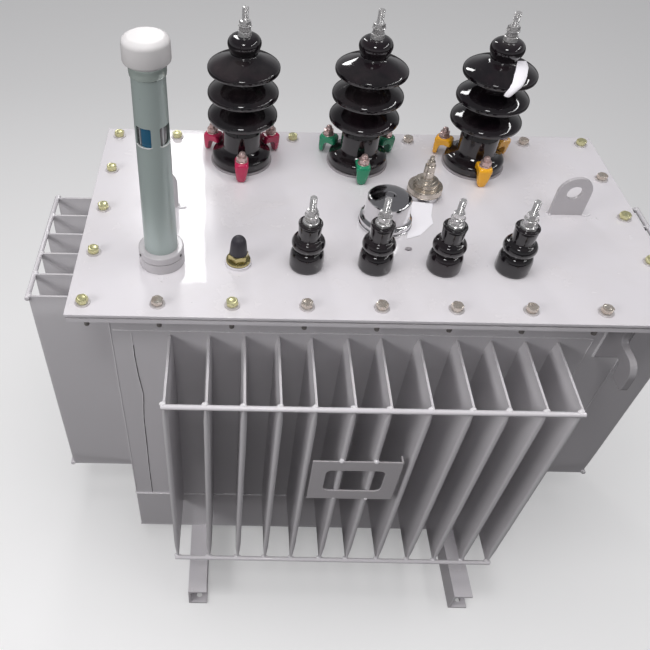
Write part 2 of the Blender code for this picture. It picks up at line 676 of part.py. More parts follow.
def make_claws(number, x, paint):
    # The claw's outline in its own radial plane: a foot on the cover, an arch and a toe on the porcelain.
    toe_seat = HV_FLANGE_HEIGHT + HV_SHOULDER_RISE
    arch_inner = HV_FLANGE_RADIUS + CLAW_FLANGE_CLEARANCE
    foot_inner = CLAW_OUTER_RADIUS - CLAW_FOOT
    saddle = CLAW_HEIGHT + CLAW_SADDLE_RISE
    toe_end = CLAW_TOE_RADIUS
    outline = [(CLAW_OUTER_RADIUS, 0), (CLAW_OUTER_RADIUS - CLAW_BATTER, CLAW_HEIGHT - CLAW_CORNER),
               (CLAW_OUTER_RADIUS - CLAW_CORNER, CLAW_HEIGHT), (arch_inner, saddle),
               (toe_end + CLAW_TOE_DROP, saddle), (toe_end, saddle - CLAW_TOE_DROP),
               (toe_end, toe_seat + SEAT_GAP), (HV_FLANGE_RADIUS - HV_SHOULDER_RISE, toe_seat + SEAT_GAP),
               (arch_inner, toe_seat), ((arch_inner + foot_inner) / 2, CLAW_HEIGHT - CLAW_ARCH),
               (foot_inner, CLAW_HEIGHT - CLAW_ARCH_ROOT), (foot_inner, 0)]
    upright = Matrix.Rotation(math.pi / 2, 4, "X")
    for index, side in enumerate(("front", "right", "left")):
        claw = plate_outline(f"hv_claw_{number}_{side}", outline, CLAW_WIDTH, paint)
        claw.data.transform(upright)
        turn = -math.pi / 2 + index * 2 * math.pi / CLAW_COUNT
        claw.data.transform(Matrix.Rotation(turn, 4, "Z"))
        claw.location = (x, HV_Y, FITTING_SEAT)


def lv_profile():
    ring_top = LV_RING_MIDDLE + LV_RING_HALF
    ring_bottom = LV_RING_MIDDLE - LV_RING_HALF
    points = [(0, LV_TOP), (LV_HEAD_RADIUS - LV_NUT_GAP / 2, LV_TOP), (LV_HEAD_RADIUS, LV_TOP - LV_NUT_GAP),
              (LV_NECK_RADIUS, ring_top + LV_NUT_GAP), (LV_NECK_RADIUS, ring_top)]
    for share in RING_LEVEL_SHARES:
        bulge = math.sqrt(1 - share ** 2)
        radius = LV_NECK_RADIUS + (LV_RING_RADIUS - LV_NECK_RADIUS) * bulge
        points.append((radius, LV_RING_MIDDLE + LV_RING_HALF * share))
    points += [(LV_WAIST_RADIUS, (ring_bottom + LV_WAIST) / 2)]
    for share in BELL_LEVEL_SHARES:
        bulge = math.sqrt(share * (2 - share))
        radius = LV_WAIST_RADIUS + (LV_BELL_RADIUS - LV_WAIST_RADIUS) * bulge
        points.append((radius, LV_BELL_HEIGHT * (1 - share * BELL_SHOULDER_SHARE)))
    points += [(LV_BELL_RADIUS, LV_NUT_GAP), (LV_BELL_RADIUS - LV_NUT_GAP / 2, 0), (0, 0)]
    return points


def make_lv_bushings():
    profile = lv_profile()
    for index in range(LV_COUNT):
        number = index + 1
        x = LV_FIRST_X + index * LV_PITCH
        turned(f"lv_porcelain_{number}", profile, LV_SEGMENTS, (x, LV_Y, FITTING_SEAT), BROWN_GLAZE)
        base = FITTING_SEAT + LV_TOP + SEAT_GAP
        first = base + LV_WASHER_THICK
        second = first + LV_NUT_THICK + LV_NUT_GAP
        make_stud(f"lv_stud_{number}", (x, LV_Y), base, LV_WASHER_RADIUS, LV_WASHER_THICK,
                  [(first, first + LV_NUT_THICK), (second, second + LV_NUT_THICK)], LV_NUT_RADIUS,
                  LV_STUD_RADIUS, COVER_TOP + LV_STUD_TOP)


def make_gauge():
    place = Vector((GAUGE_X, GAUGE_Y, FITTING_SEAT))
    groove = SOCKET_RADIUS - SOCKET_GROOVE
    socket = [(0, SOCKET_HEIGHT), (SOCKET_RADIUS - SOCKET_CHAMFER, SOCKET_HEIGHT),
              (SOCKET_RADIUS, SOCKET_HEIGHT - SOCKET_CHAMFER), (SOCKET_RADIUS, SOCKET_JOINT + SOCKET_GROOVE),
              (groove, SOCKET_JOINT + SOCKET_GROOVE), (groove, SOCKET_JOINT), (SOCKET_RADIUS, SOCKET_JOINT),
              (SOCKET_RADIUS, 0), (0, 0)]
    turned("gauge_socket", socket, ROUND_SEGMENTS, place, GREY_PAINT)
    tube_base = SOCKET_HEIGHT + SEAT_GAP
    tube_place = place + Vector((0, 0, tube_base))
    tube_profile = [(TUBE_HEAD_RADIUS, TUBE_LENGTH), (TUBE_FOOT_RADIUS, 0),
                    (TUBE_FOOT_RADIUS - TUBE_WALL, 0), (TUBE_HEAD_RADIUS - TUBE_WALL, TUBE_LENGTH)]
    tube = turned("gauge_tube", tube_profile, ROUND_SEGMENTS, tube_place, TUBE_PAINT, bore=1)
    half_window = TUBE_WINDOW_HEIGHT / 2
    through = TUBE_FOOT_RADIUS + CUT_OVERRUN
    for index in range(2):
        slot = bmesh.new()
        add_box(slot, (-through, -TUBE_WINDOW_WIDTH / 2, TUBE_WINDOW_MIDDLE - half_window),
                (through, TUBE_WINDOW_WIDTH / 2, TUBE_WINDOW_MIDDLE + half_window))
        cutter = finish_mesh(f"gauge_window_{index}", slot)
        cutter.location = tube_place
        cutter.rotation_euler.z = TUBE_WINDOW_TURN + index * math.pi / 2
        combine(tube, cutter, "DIFFERENCE")
    slope = (TUBE_FOOT_RADIUS - TUBE_HEAD_RADIUS) / TUBE_LENGTH
    glass_low = TUBE_WINDOW_MIDDLE - GLASS_LENGTH / 2
    glass_high = TUBE_WINDOW_MIDDLE + GLASS_LENGTH / 2
    inner = TUBE_FOOT_RADIUS - TUBE_WALL - slope * glass_high - SEAT_GAP
    glass_profile = [(inner, glass_high), (inner, glass_low), (inner - GLASS_WALL, glass_low),
                     (inner - GLASS_WALL, glass_high)]
    turned("gauge_glass", glass_profile, ROUND_SEGMENTS, tube_place, BLUE_GLASS, bore=1)
    collar_base = tube_base + TUBE_LENGTH + SEAT_GAP
    collar = [(0, COLLAR_HEIGHT), (COLLAR_RADIUS, COLLAR_HEIGHT), (COLLAR_RADIUS, SOCKET_CHAMFER),
              (COLLAR_RADIUS - SOCKET_CHAMFER, 0), (0, 0)]
    turned("gauge_collar", collar, ROUND_SEGMENTS, place + Vector((0, 0, collar_base)), TUBE_PAINT)
    cap_base = collar_base + COLLAR_HEIGHT + SEAT_GAP
    shoulder = [(CAP_TOP_RADIUS - CAP_ROUND + across, CAP_HEIGHT - CAP_ROUND + up)
                for across, up in arc((0, 0), CAP_ROUND, math.pi / 2, 0, CURVE_STEPS)]
    cap = [(0, CAP_HEIGHT)] + shoulder
    cap += [(CAP_RADIUS - CAP_LIP_DEPTH, CAP_LIP + CAP_LIP_DEPTH), (CAP_RADIUS, CAP_LIP), (CAP_RADIUS, 0),
            (0, 0)]
    turned("gauge_cap", cap, ROUND_SEGMENTS, place + Vector((0, 0, cap_base)), WHITE_PLASTIC)


def make_pocket():
    place = Vector((POCKET_X, LV_Y, FITTING_SEAT))
    flange_top = POCKET_BOSS_HEIGHT + POCKET_FLANGE_THICK
    profile = [(0, flange_top), (POCKET_FLANGE_RADIUS, flange_top),
               (POCKET_FLANGE_RADIUS, POCKET_BOSS_HEIGHT), (POCKET_BOSS_RADIUS, POCKET_BOSS_HEIGHT),
               (POCKET_BOSS_RADIUS, 0), (0, 0)]
    plug = turned("pocket_plug", profile, SMALL_SEGMENTS, place, BRASS)
    hex_top = flange_top + POCKET_HEX_HEIGHT
    sink = POCKET_FLANGE_THICK / 2
    hexagon = rod("pocket_hexagon", place + Vector((0, 0, flange_top - sink)),
                  place + Vector((0, 0, hex_top)), POCKET_HEX_RADIUS, HEXAGON)
    combine(plug, hexagon, "UNION")
    crown = RUBBER_RADIUS * RUBBER_CROWN_SHARE
    dome = [(0, RUBBER_HEIGHT)]
    for across, up in arc((0, 0), 1, math.pi / 2, 0, CURVE_STEPS)[1:]:
        dome.append((RUBBER_RADIUS * across, RUBBER_HEIGHT - crown * (1 - up)))
    cap_place = place + Vector((0, 0, hex_top + SEAT_GAP))
    turned("pocket_cap", dome + [(RUBBER_RADIUS, 0), (0, 0)], SMALL_SEGMENTS, cap_place, DARK_RUBBER)


def make_cup():
    rim = CUP_HEIGHT
    dish_floor, dish_edge = (CUP_RADIUS * share for share in CUP_DISH_SHARES)
    profile = [(0, rim - CUP_DISH), (dish_floor, rim - CUP_DISH), (dish_edge, rim),
               (CUP_RADIUS - CUP_ROUND, rim), (CUP_RADIUS, rim - CUP_ROUND), (CUP_RADIUS, CUP_FLARE_HEIGHT)]
    flare = CUP_FOOT_RADIUS - CUP_RADIUS
    for share in CUP_FLARE_SHARES:
        profile.append((CUP_RADIUS + flare * share ** 2,
                        CUP_FLARE_HEIGHT - (CUP_FLARE_HEIGHT - CUP_FOOT_HEIGHT) * share))
    profile += [(CUP_FOOT_RADIUS, CUP_FOOT_HEIGHT), (CUP_FOOT_RADIUS, 0), (0, 0)]
    turned("tap_changer_cup", profile, ROUND_SEGMENTS, (CUP_X, CUP_Y, FITTING_SEAT), CHROME)


def make_relief_valve():
    edge = RELIEF_EDGE
    profile = [(0, RELIEF_ROD_HEIGHT), (RELIEF_ROD_RADIUS, RELIEF_ROD_HEIGHT),
               (RELIEF_ROD_RADIUS, RELIEF_NUT_HEIGHT), (RELIEF_NUT_RADIUS, RELIEF_NUT_HEIGHT),
               (RELIEF_NUT_RADIUS, RELIEF_STEM_HEIGHT), (RELIEF_STEM_RADIUS, RELIEF_STEM_HEIGHT),
               (RELIEF_STEM_RADIUS, RELIEF_STEP_HEIGHT), (RELIEF_STEP_RADIUS - edge, RELIEF_STEP_HEIGHT),
               (RELIEF_STEP_RADIUS, RELIEF_STEP_HEIGHT - edge), (RELIEF_STEP_RADIUS, RELIEF_DISC_HEIGHT),
               (RELIEF_DISC_RADIUS - edge, RELIEF_DISC_HEIGHT),
               (RELIEF_DISC_RADIUS, RELIEF_DISC_HEIGHT - edge),
               (RELIEF_DISC_RADIUS, RELIEF_FOOT_HEIGHT + edge),
               (RELIEF_DISC_RADIUS - edge, RELIEF_FOOT_HEIGHT),
               (RELIEF_FOOT_RADIUS, RELIEF_FOOT_HEIGHT), (RELIEF_FOOT_RADIUS, 0), (0, 0)]
    turned("relief_valve", profile, ROUND_SEGMENTS, (RELIEF_X, RELIEF_Y, FITTING_SEAT), NICKEL)


make_skids()
make_tank()
make_cover()
make_lugs()
make_hooks()
make_bracket()
make_hv_bushings()
make_lv_bushings()
make_gauge()
make_pocket()
make_cup()
make_relief_valve()
bpy.context.view_layer.update()
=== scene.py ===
# Looks of the oil-filled power transformer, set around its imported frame.
# Metres, +Z up, front (low-voltage side) towards -Y. A turned profile lists (radius, height) from its top,
# over the outside, to its bottom.
import math
import random

import bmesh
import bpy
from mathutils import Matrix, Vector


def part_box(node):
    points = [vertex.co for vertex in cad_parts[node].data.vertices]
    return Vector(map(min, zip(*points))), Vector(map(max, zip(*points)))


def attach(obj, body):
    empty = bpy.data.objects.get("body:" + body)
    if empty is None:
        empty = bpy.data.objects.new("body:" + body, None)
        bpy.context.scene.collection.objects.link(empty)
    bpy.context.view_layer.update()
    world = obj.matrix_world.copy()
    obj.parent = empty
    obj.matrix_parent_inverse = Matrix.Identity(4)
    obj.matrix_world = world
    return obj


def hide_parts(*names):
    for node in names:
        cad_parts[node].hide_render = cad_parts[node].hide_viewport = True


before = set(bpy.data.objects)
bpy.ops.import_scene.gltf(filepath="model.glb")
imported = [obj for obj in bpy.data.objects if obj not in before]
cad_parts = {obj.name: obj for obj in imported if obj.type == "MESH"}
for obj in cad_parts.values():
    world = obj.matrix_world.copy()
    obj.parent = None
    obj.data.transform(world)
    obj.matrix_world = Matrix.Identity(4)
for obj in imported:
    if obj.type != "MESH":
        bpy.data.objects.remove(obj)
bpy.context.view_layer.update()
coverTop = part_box("cover")[1].z
print("frame loaded:", len(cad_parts), "parts, cover top at", round(coverTop, 4))

# How far what stands on the cover clears it
seat = 0.0002
# Turns a plate that is drawn in X and Y upright, to face -Y
standUp = Matrix.Rotation(math.pi / 2, 4, "X")


# Small helpers
def screenColor(red, green, blue):
    # A colour as a screen shows it, 0 to 255, turned into the renderer's linear colour
    return tuple(((part / 255 + 0.055) / 1.055) ** 2.4 for part in (red, green, blue)) + (1,)


def linkObject(name, data):
    thing = bpy.data.objects.new(name, data)
    bpy.context.scene.collection.objects.link(thing)
    return thing


def finishPiece(name, mesh, material, *replaces):
    # Puts a finished mesh in the scene as one piece of the transformer
    piece = linkObject(name, mesh)
    mesh.materials.clear()
    mesh.materials.append(material)
    if replaces:
        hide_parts(*replaces)
    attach(piece, "root")
    return piece


def meshFrom(name, work, sharp=32):
    # Closes a bmesh: normals outwards, smooth with sharp edges above the angle
    bmesh.ops.recalc_face_normals(work, faces=work.faces[:])
    mesh = bpy.data.meshes.new(name)
    work.to_mesh(mesh)
    work.free()
    mesh.shade_smooth()
    mesh.set_sharp_from_angle(angle=math.radians(sharp))
    return mesh


def meshOf(thing):
    # An object's mesh with its modifiers applied
    bpy.context.view_layer.update()
    return bpy.data.meshes.new_from_object(thing.evaluated_get(bpy.context.evaluated_depsgraph_get()))


def flattenShading(mesh):
    # Large flat faces keep their own direction under smooth shading; only the softened rims turn
    carrier = linkObject("carrier", mesh)
    modifier = carrier.modifiers.new("flatten", "WEIGHTED_NORMAL")
    modifier.mode = "FACE_AREA"
    modifier.keep_sharp = True
    flat = meshOf(carrier)
    carrier.modifiers.remove(modifier)
    bpy.data.objects.remove(carrier)
    flat.name = mesh.name
    return flat


def arcPoints(centre, radius, start, end, steps):
    # Points on an arc, angles in degrees
    angles = [math.radians(start + (end - start) * step / steps) for step in range(steps + 1)]
    return [(centre[0] + radius * math.cos(angle), centre[1] + radius * math.sin(angle)) for angle in angles]


def roundedWindow(width, height, corner, steps):
    across, up = width / 2 - corner, height / 2 - corner
    points = []
    for sideX, sideY, start in ((1, 1, 0), (-1, 1, 90), (-1, -1, 180), (1, -1, 270)):
        points += arcPoints((sideX * across, sideY * up), corner, start, start + 90, steps)
    return points


def flowLine(points, steps=4):
    # A smooth line through the points
    line = []
    for index in range(len(points) - 1):
        before = Vector(points[max(index - 1, 0)])
        here = Vector(points[index])
        there = Vector(points[index + 1])
        after = Vector(points[min(index + 2, len(points) - 1)])
        for step in range(steps):
            t = step / steps
            spot = 0.5 * (2 * here + (there - before) * t + (2 * before - 5 * here + 4 * there - after) * t ** 2
                          + (3 * here - before - 3 * there + after) * t ** 3)
            line.append((max(spot.x, 0), spot.y))
    line.append(tuple(points[-1]))
    return line


def addTurned(work, profile, centre=(0, 0, 0), segments=72):
    rings = []
    for radius, height in profile:
        if radius < 1e-6:
            rings.append([work.verts.new((centre[0], centre[1], centre[2] + height))])
            continue
        rings.append([work.verts.new((centre[0] + radius * math.cos(turn), centre[1] + radius * math.sin(turn),
                                      centre[2] + height))
                      for turn in (2 * math.pi * step / segments for step in range(segments))])
    for upper, lower in zip(rings, rings[1:]):
        for step in range(segments):
            ahead = (step + 1) % segments
            corners = [upper[step % len(upper)], lower[step % len(lower)],
                       lower[ahead % len(lower)], upper[ahead % len(upper)]]
            distinct = list(dict.fromkeys(corners))
            if len(distinct) > 2:
                work.faces.new(distinct)


def workPiece(name, work, material, *replaces, sharp=32):
    return finishPiece(name, meshFrom(name, work, sharp), material, *replaces)


def flatPiece(name, work, material, *replaces, sharp=32):
    return finishPiece(name, flattenShading(meshFrom(name, work, sharp)), material, *replaces)


def turnedPiece(name, profile, centre, material, *replaces, segments=72, sharp=32):
    # A profile without its ends on the axis is a closed loop, for a hollow form
    work = bmesh.new()
    addTurned(work, profile, centre, segments)
    return workPiece(name, work, material, *replaces, sharp=sharp)


def addHexagon(work, centre, acrossFlats, low, high, turn=0.0, chamfer=0.08):
    # A hexagon nut or head with its corners turned off at the top and bottom
    count = 36
    flat = acrossFlats / 2
    inner = flat * (1 - chamfer)

    def ring(height, shrink, lift):
        spots = []
        for step in range(count):
            angle = 2 * math.pi * step / count
            radius = flat / math.cos((angle % (math.pi / 3)) - math.pi / 6)
            radius = min(radius, shrink) if shrink else radius
            drop = max(0.0, radius - inner) * 0.55 * lift
            spots.append(work.verts.new((centre[0] + radius * math.cos(angle + turn),
                                         centre[1] + radius * math.sin(angle + turn), height - drop)))
        return spots

    rings = [ring(high, inner, 0), ring(high, 0, 1), ring(low, 0, -1), ring(low, inner, 0)]
    for upper, lower in zip(rings, rings[1:]):
        for step in range(count):
            ahead = (step + 1) % count
            work.faces.new((upper[step], lower[step], lower[ahead], upper[ahead]))
    work.faces.new(rings[0])
    work.faces.new(list(reversed(rings[-1])))


def addBall(work, centre, radius, squash):
    ball = bmesh.ops.create_icosphere(work, subdivisions=2, radius=radius)
    bmesh.ops.scale(work, vec=squash, verts=ball["verts"])
    bmesh.ops.translate(work, vec=centre, verts=ball["verts"])


def addBlock(work, low, high, soften, segments=2):
    # A block with softened edges
    verts = bmesh.ops.create_cube(work, size=1)["verts"]
    bmesh.ops.scale(work, vec=Vector(high) - Vector(low), verts=verts)
    bmesh.ops.translate(work, vec=(Vector(high) + Vector(low)) / 2, verts=verts)
    edges = {edge for vert in verts for edge in vert.link_edges}
    bmesh.ops.bevel(work, geom=list(edges), offset=soften, segments=segments, affect="EDGES", profile=0.5)


def thicken(work, offset):
    # Gives flat faces a thickness
    grown = bmesh.ops.extrude_face_region(work, geom=work.faces[:])
    corners = [item for item in grown["geom"] if isinstance(item, bmesh.types.BMVert)]
    bmesh.ops.translate(work, vec=offset, verts=corners)


def plateWork(outline, thickness, place, holes=(), soften=0.0, segments=2):
    # A flat plate cut to an outline with holes, its rims softened, then moved to its place
    work = bmesh.new()
    edges = []
    for loop in (outline, *holes):
        corners = [work.verts.new((x, y, -thickness / 2)) for x, y in loop]
        edges += [work.edges.new((a, b)) for a, b in zip(corners, corners[1:] + corners[:1])]
    bmesh.ops.triangle_fill(work, edges=edges, use_beauty=True)
    thicken(work, (0, 0, thickness))
    bmesh.ops.recalc_face_normals(work, faces=work.faces[:])
    if soften:
        rims = [edge for edge in work.edges if len(edge.link_faces) == 2
                and abs(edge.verts[0].co.z - edge.verts[1].co.z) < 1e-7
                and edge.calc_face_angle(0) > math.radians(60)]
        bmesh.ops.bevel(work, geom=rims, offset=soften, segments=segments, affect="EDGES", profile=0.5)
    bmesh.ops.transform(work, matrix=place, verts=work.verts[:])
    return work


def mergeWork(work, other, place):
    # Moves one bmesh to its place and adds it to another
    bmesh.ops.transform(other, matrix=place, verts=other.verts[:])
    mesh = bpy.data.meshes.new("merged")
    other.to_mesh(mesh)
    other.free()
    work.from_mesh(mesh)
    bpy.data.meshes.remove(mesh)


def cutWith(piece, cutterWork):
    # Cuts a form out of a piece and keeps the result as its own mesh
    cutter = linkObject("cutter", meshFrom("cutter", cutterWork))
    modifier = piece.modifiers.new("cut", "BOOLEAN")
    modifier.operation = "DIFFERENCE"
    modifier.solver = "EXACT"
    modifier.object = cutter
    mesh = meshOf(piece)
    piece.modifiers.remove(modifier)
    piece.data = mesh
    bpy.data.objects.remove(cutter)
    mesh.set_sharp_from_angle(angle=math.radians(32))


# Node trees
class Flow:
    # A value that flows through a node tree: arithmetic on it adds math nodes
    def __init__(self, socket):
        self.socket = socket
        self.tree = socket.id_data

    def calc(self, operation, *others, clamp=False):
        return calc(self.tree, operation, self, *others, clamp=clamp)

    def __add__(self, other):
        return self.calc("ADD", other)

    def __sub__(self, other):
        return self.calc("SUBTRACT", other)

    def __rsub__(self, other):
        return calc(self.tree, "SUBTRACT", other, self)

    def __mul__(self, other):
        return self.calc("MULTIPLY", other)

    def __truediv__(self, other):
        return self.calc("DIVIDE", other)


def feed(socket, value):
    # A socket takes a flowing value, or a plain one
    if isinstance(value, Flow):
        value.tree.links.new(value.socket, socket)
    elif value is not None:
        socket.default_value = value


def feedAll(node, values):
    for label, value in values.items():
        feed(node.inputs[label], value)


def flowFrom(tree, kind, inputs=None, output=0, **settings):
    # Adds a node with its settings made and its inputs fed, and gives back one of its outputs
    node = tree.nodes.new(kind)
    for label, value in settings.items():
        setattr(node, label, value)
    feedAll(node, inputs or {})
    return Flow(node.outputs[output])


def calc(tree, operation, *values, clamp=False):
    return flowFrom(tree, "ShaderNodeMath", dict(enumerate(values)), operation=operation, use_clamp=clamp)


def rescale(value, low, high, newLow=0.0, newHigh=1.0, smooth=False):
    return flowFrom(value.tree, "ShaderNodeMapRange", {
        "Value": value, "From Min": low, "From Max": high, "To Min": newLow, "To Max": newHigh}, "Result",
        interpolation_type="SMOOTHSTEP" if smooth else "LINEAR")


def joinVector(tree, x, y, z):
    return flowFrom(tree, "ShaderNodeCombineXYZ", {0: x, 1: y, 2: z})


def splitVector(vector):
    node = vector.tree.nodes.new("ShaderNodeSeparateXYZ")
    feed(node.inputs[0], vector)
    return [Flow(socket) for socket in node.outputs]


def scaleColor(color, factor):
    return flowFrom(color.tree, "ShaderNodeVectorMath", {0: color, "Scale": factor}, operation="SCALE")


def noiseAt(place, scale, detail=2.0, roughness=0.5, distortion=0.0):
    return flowFrom(place.tree, "ShaderNodeTexNoise", {
        "Vector": place, "Scale": scale, "Detail": detail, "Roughness": roughness, "Distortion": distortion}, "Fac")


def blendColor(factor, first, second):
    node = factor.tree.nodes.new("ShaderNodeMix")
    node.data_type = "RGBA"
    feed(node.inputs["Factor"], factor)
    colors = [socket for socket in node.inputs if socket.type == "RGBA"]
    feed(colors[0], first)
    feed(colors[1], second)
    return Flow(next(socket for socket in node.outputs if socket.type == "RGBA"))


def startTree(name, kind, inputs, outputs):
    # A tree with named inputs, each given as its default or, where it has none, as the kind of its socket
    tree = bpy.data.node_groups.new(name, kind)
    kinds = {float: "Float", int: "Int", tuple: "Color"}
    for label, value in inputs.items():
        socket = tree.interface.new_socket(label, in_out="INPUT",
                                           socket_type="NodeSocket" + kinds.get(type(value), str(value)))
        if not isinstance(value, str):
            socket.default_value = value
    for label, socketKind in outputs.items():
        tree.interface.new_socket(label, in_out="OUTPUT", socket_type="NodeSocket" + socketKind)
    given = {socket.name: Flow(socket) for socket in tree.nodes.new("NodeGroupInput").outputs}
    return tree, given, tree.nodes.new("NodeGroupOutput")


def startShape(name, inputs):
    return startTree(name, "GeometryNodeTree", {"Geometry": "Geometry", **inputs, "Material": "Material"},
                     {"Geometry": "Geometry"})


def endShape(tree, given, result, geometry, realize=True):
    if realize:
        geometry = flowFrom(tree, "GeometryNodeRealizeInstances", {0: geometry})
    feedAll(result, {"Geometry": flowFrom(tree, "GeometryNodeSetMaterial", {
        "Geometry": geometry, "Material": given["Material"]})})
    return tree


def runTree(tree, baseMesh, settings):
    # Runs a Geometry Nodes tree on a mesh and gives back its result as a plain mesh
    carrier = linkObject("carrier", baseMesh)
    modifier = carrier.modifiers.new("build", "NODES")
    modifier.node_group = tree
    sockets = {item.name: item.identifier for item in tree.interface.items_tree
               if item.item_type == "SOCKET" and item.in_out == "INPUT"}
    for label, value in settings.items():
        modifier[sockets[label]] = value
    mesh = meshOf(carrier)
    carrier.modifiers.remove(modifier)
    bpy.data.objects.remove(carrier)
    return mesh


def pointMesh(name, points):
    mesh = bpy.data.meshes.new(name)
    mesh.from_pydata([tuple(point) for point in points], [], [])
    return mesh


def lineMesh(name, lines):
    # Polylines, each a list of points
    verts, edges = [], []
    for line in lines:
        start = len(verts)
        verts += [tuple(point) for point in line]
        edges += [(start + step, start + step + 1) for step in range(len(line) - 1)]
    mesh = bpy.data.meshes.new(name)
    mesh.from_pydata(verts, edges, [])
    return mesh


# Shared surface effects
def makePaintFilm():
    # Sprayed enamel: faint clouds in its shade, orange peel, and the waviness of the sheet under it
    tree, given, result = startTree("paintFilm", "ShaderNodeTree", {
        "Vector": "Vector", "Color": (0.7, 0.7, 0.7, 1), "Clouds": 0.05, "Roughness": 0.25, "Roughness Spread": 0.1,
        "Peel Size": 160.0, "Peel Height": 0.00002, "Wave Size": 5.0, "Wave Height": 0.0004},
        {"Color": "Color", "Roughness": "Float", "Height": "Float"})
    place = given["Vector"]
    lift = (noiseAt(place, 3.1, 4, 0.55) - 0.5).calc("MULTIPLY_ADD", given["Clouds"] * 2.0, 1.0)
    film = noiseAt(place, 14, 5, 0.6) - 0.5
    peel = noiseAt(place, given["Peel Size"], 1.5) * given["Peel Height"]
    wave = noiseAt(place, given["Wave Size"], 3.0, 0.38) * given["Wave Height"]
    feedAll(result, {"Color": scaleColor(given["Color"], lift), "Height": peel + wave,
                     "Roughness": film.calc("MULTIPLY_ADD", given["Roughness Spread"], given["Roughness"])})
    return tree


def makeDustFilm():
    # Workshop dust that settles on what faces up, and a scatter of dark specks
    tree, given, result = startTree("dustFilm", "ShaderNodeTree", {
        "Vector": "Vector", "Color": (0.5, 0.5, 0.5, 1), "Roughness": 0.3, "Dust Color": (0.55, 0.52, 0.48, 1),
        "Dust": 0.2, "Specks": 0.3}, {"Color": "Color", "Roughness": "Float"})
    place = given["Vector"]
    facing = splitVector(flowFrom(tree, "ShaderNodeNewGeometry", output="Normal"))[2]
    up = rescale(facing, 0.35, 0.95, smooth=True)
    patches = rescale(noiseAt(place, 11, 8, 0.62, 0.4), 0.42, 0.78)
    cover = (up * patches).calc("MULTIPLY", given["Dust"], clamp=True)
    dusted = blendColor(cover, given["Color"], given["Dust Color"])
    cells = flowFrom(tree, "ShaderNodeTexVoronoi", {"Vector": place, "Scale": 46}, "Distance", feature="F1")
    near = rescale(cells, 0.03, 0.055, 1.0, 0.0)
    chosen = splitVector(Flow(cells.socket.node.outputs["Color"]))[0].calc("GREATER_THAN", 0.86)
    speck = (near * chosen).calc("MULTIPLY", given["Specks"], clamp=True)
    feedAll(result, {"Color": blendColor(speck, dusted, (0.09, 0.075, 0.06, 1)),
                     "Roughness": cover.calc("MULTIPLY_ADD", 0.35, given["Roughness"])})
    return tree


def makeMachinedGrain():
    # Turning marks and handling marks on bare metal
    tree, given, result = startTree("machinedGrain", "ShaderNodeTree", {
        "Vector": "Vector", "Color": (0.6, 0.6, 0.6, 1), "Tarnish Color": (0.4, 0.35, 0.3, 1), "Tarnish": 0.2,
        "Roughness": 0.25, "Rings": 900.0, "Ring Height": 0.00001},
        {"Color": "Color", "Roughness": "Float", "Height": "Float"})
    height = splitVector(given["Vector"])[2]
    marks = noiseAt(joinVector(tree, 0.0, 0.0, height * given["Rings"]), 1.0, 2)
    stain = noiseAt(given["Vector"], 55, 5, 0.62, 0.6)
    worn = rescale(stain, 0.35, 0.72).calc("MULTIPLY", given["Tarnish"], clamp=True)
    feedAll(result, {"Color": blendColor(worn, given["Color"], given["Tarnish Color"]),
                     "Roughness": (stain - 0.4).calc("MULTIPLY_ADD", 0.35, given["Roughness"], clamp=True),
                     "Height": marks * given["Ring Height"]})
    return tree


def makeChipping():
    # Small chips where the paint is gone and shows what lies under it
    tree, given, result = startTree("chipping", "ShaderNodeTree", {
        "Vector": "Vector", "Color": (0.5, 0.1, 0.1, 1), "Under Color": (0.25, 0.24, 0.23, 1), "Chip Size": 90.0,
        "Chips": 0.3}, {"Color": "Color"})
    edge = 0.86 - given["Chips"] * 0.3
    bare = rescale(noiseAt(given["Vector"], given["Chip Size"], 6, 0.68, 0.8), edge, edge + 0.02)
    feedAll(result, {"Color": blendColor(bare, given["Color"], given["Under Color"])})
    return tree


paintFilm = makePaintFilm()
dustFilm = makeDustFilm()
machinedGrain = makeMachinedGrain()
chipping = makeChipping()


# Materials. A look's keys are the names of the effects' inputs
def startMaterial(name, previewColor):
    material = bpy.data.materials.new(name)
    material.use_nodes = True
    material.diffuse_color = previewColor
    tree = material.node_tree
    return material, tree, tree.nodes["Principled BSDF"], flowFrom(tree, "ShaderNodeTexCoord", output="Object")


def useGroup(tree, group, look, flows):
    # What the look says and this group has no input for is meant for another
    node = tree.nodes.new("ShaderNodeGroup")
    node.node_tree = group
    settings = {**look, **flows}
    for socket in node.inputs:
        feed(socket, settings.get(socket.name))
    return {socket.name: Flow(socket) for socket in node.outputs}


def dustOver(tree, shader, look, place, color, roughness):
    dust = useGroup(tree, dustFilm, look, {"Vector": place, "Color": color, "Roughness": roughness})
    feedAll(shader, {"Base Color": dust["Color"], "Roughness": dust["Roughness"]})


def bumpFrom(tree, height, shader):
    normal = flowFrom(tree, "ShaderNodeBump", {"Strength": 1.0, "Distance": 1.0, "Height": height}, "Normal")
    feedAll(shader, {"Normal": normal})
    return normal


def makeEnamel(name, look):
    # Painted steel: enamel film, chips, dust
    material, tree, shader, place = startMaterial(name, look["Color"])
    film = useGroup(tree, paintFilm, look, {"Vector": place})
    chips = useGroup(tree, chipping, look, {"Vector": place, "Color": film["Color"]})
    dustOver(tree, shader, look, place, chips["Color"], film["Roughness"])
    # The clear top layer waves with the sheet under it
    feedAll(shader, {"Metallic": look["Metallic"], "IOR": 1.5, "Coat Weight": look["Coat Weight"],
                     "Coat Roughness": 0.03, "Coat Normal": bumpFrom(tree, film["Height"], shader)})
    return material


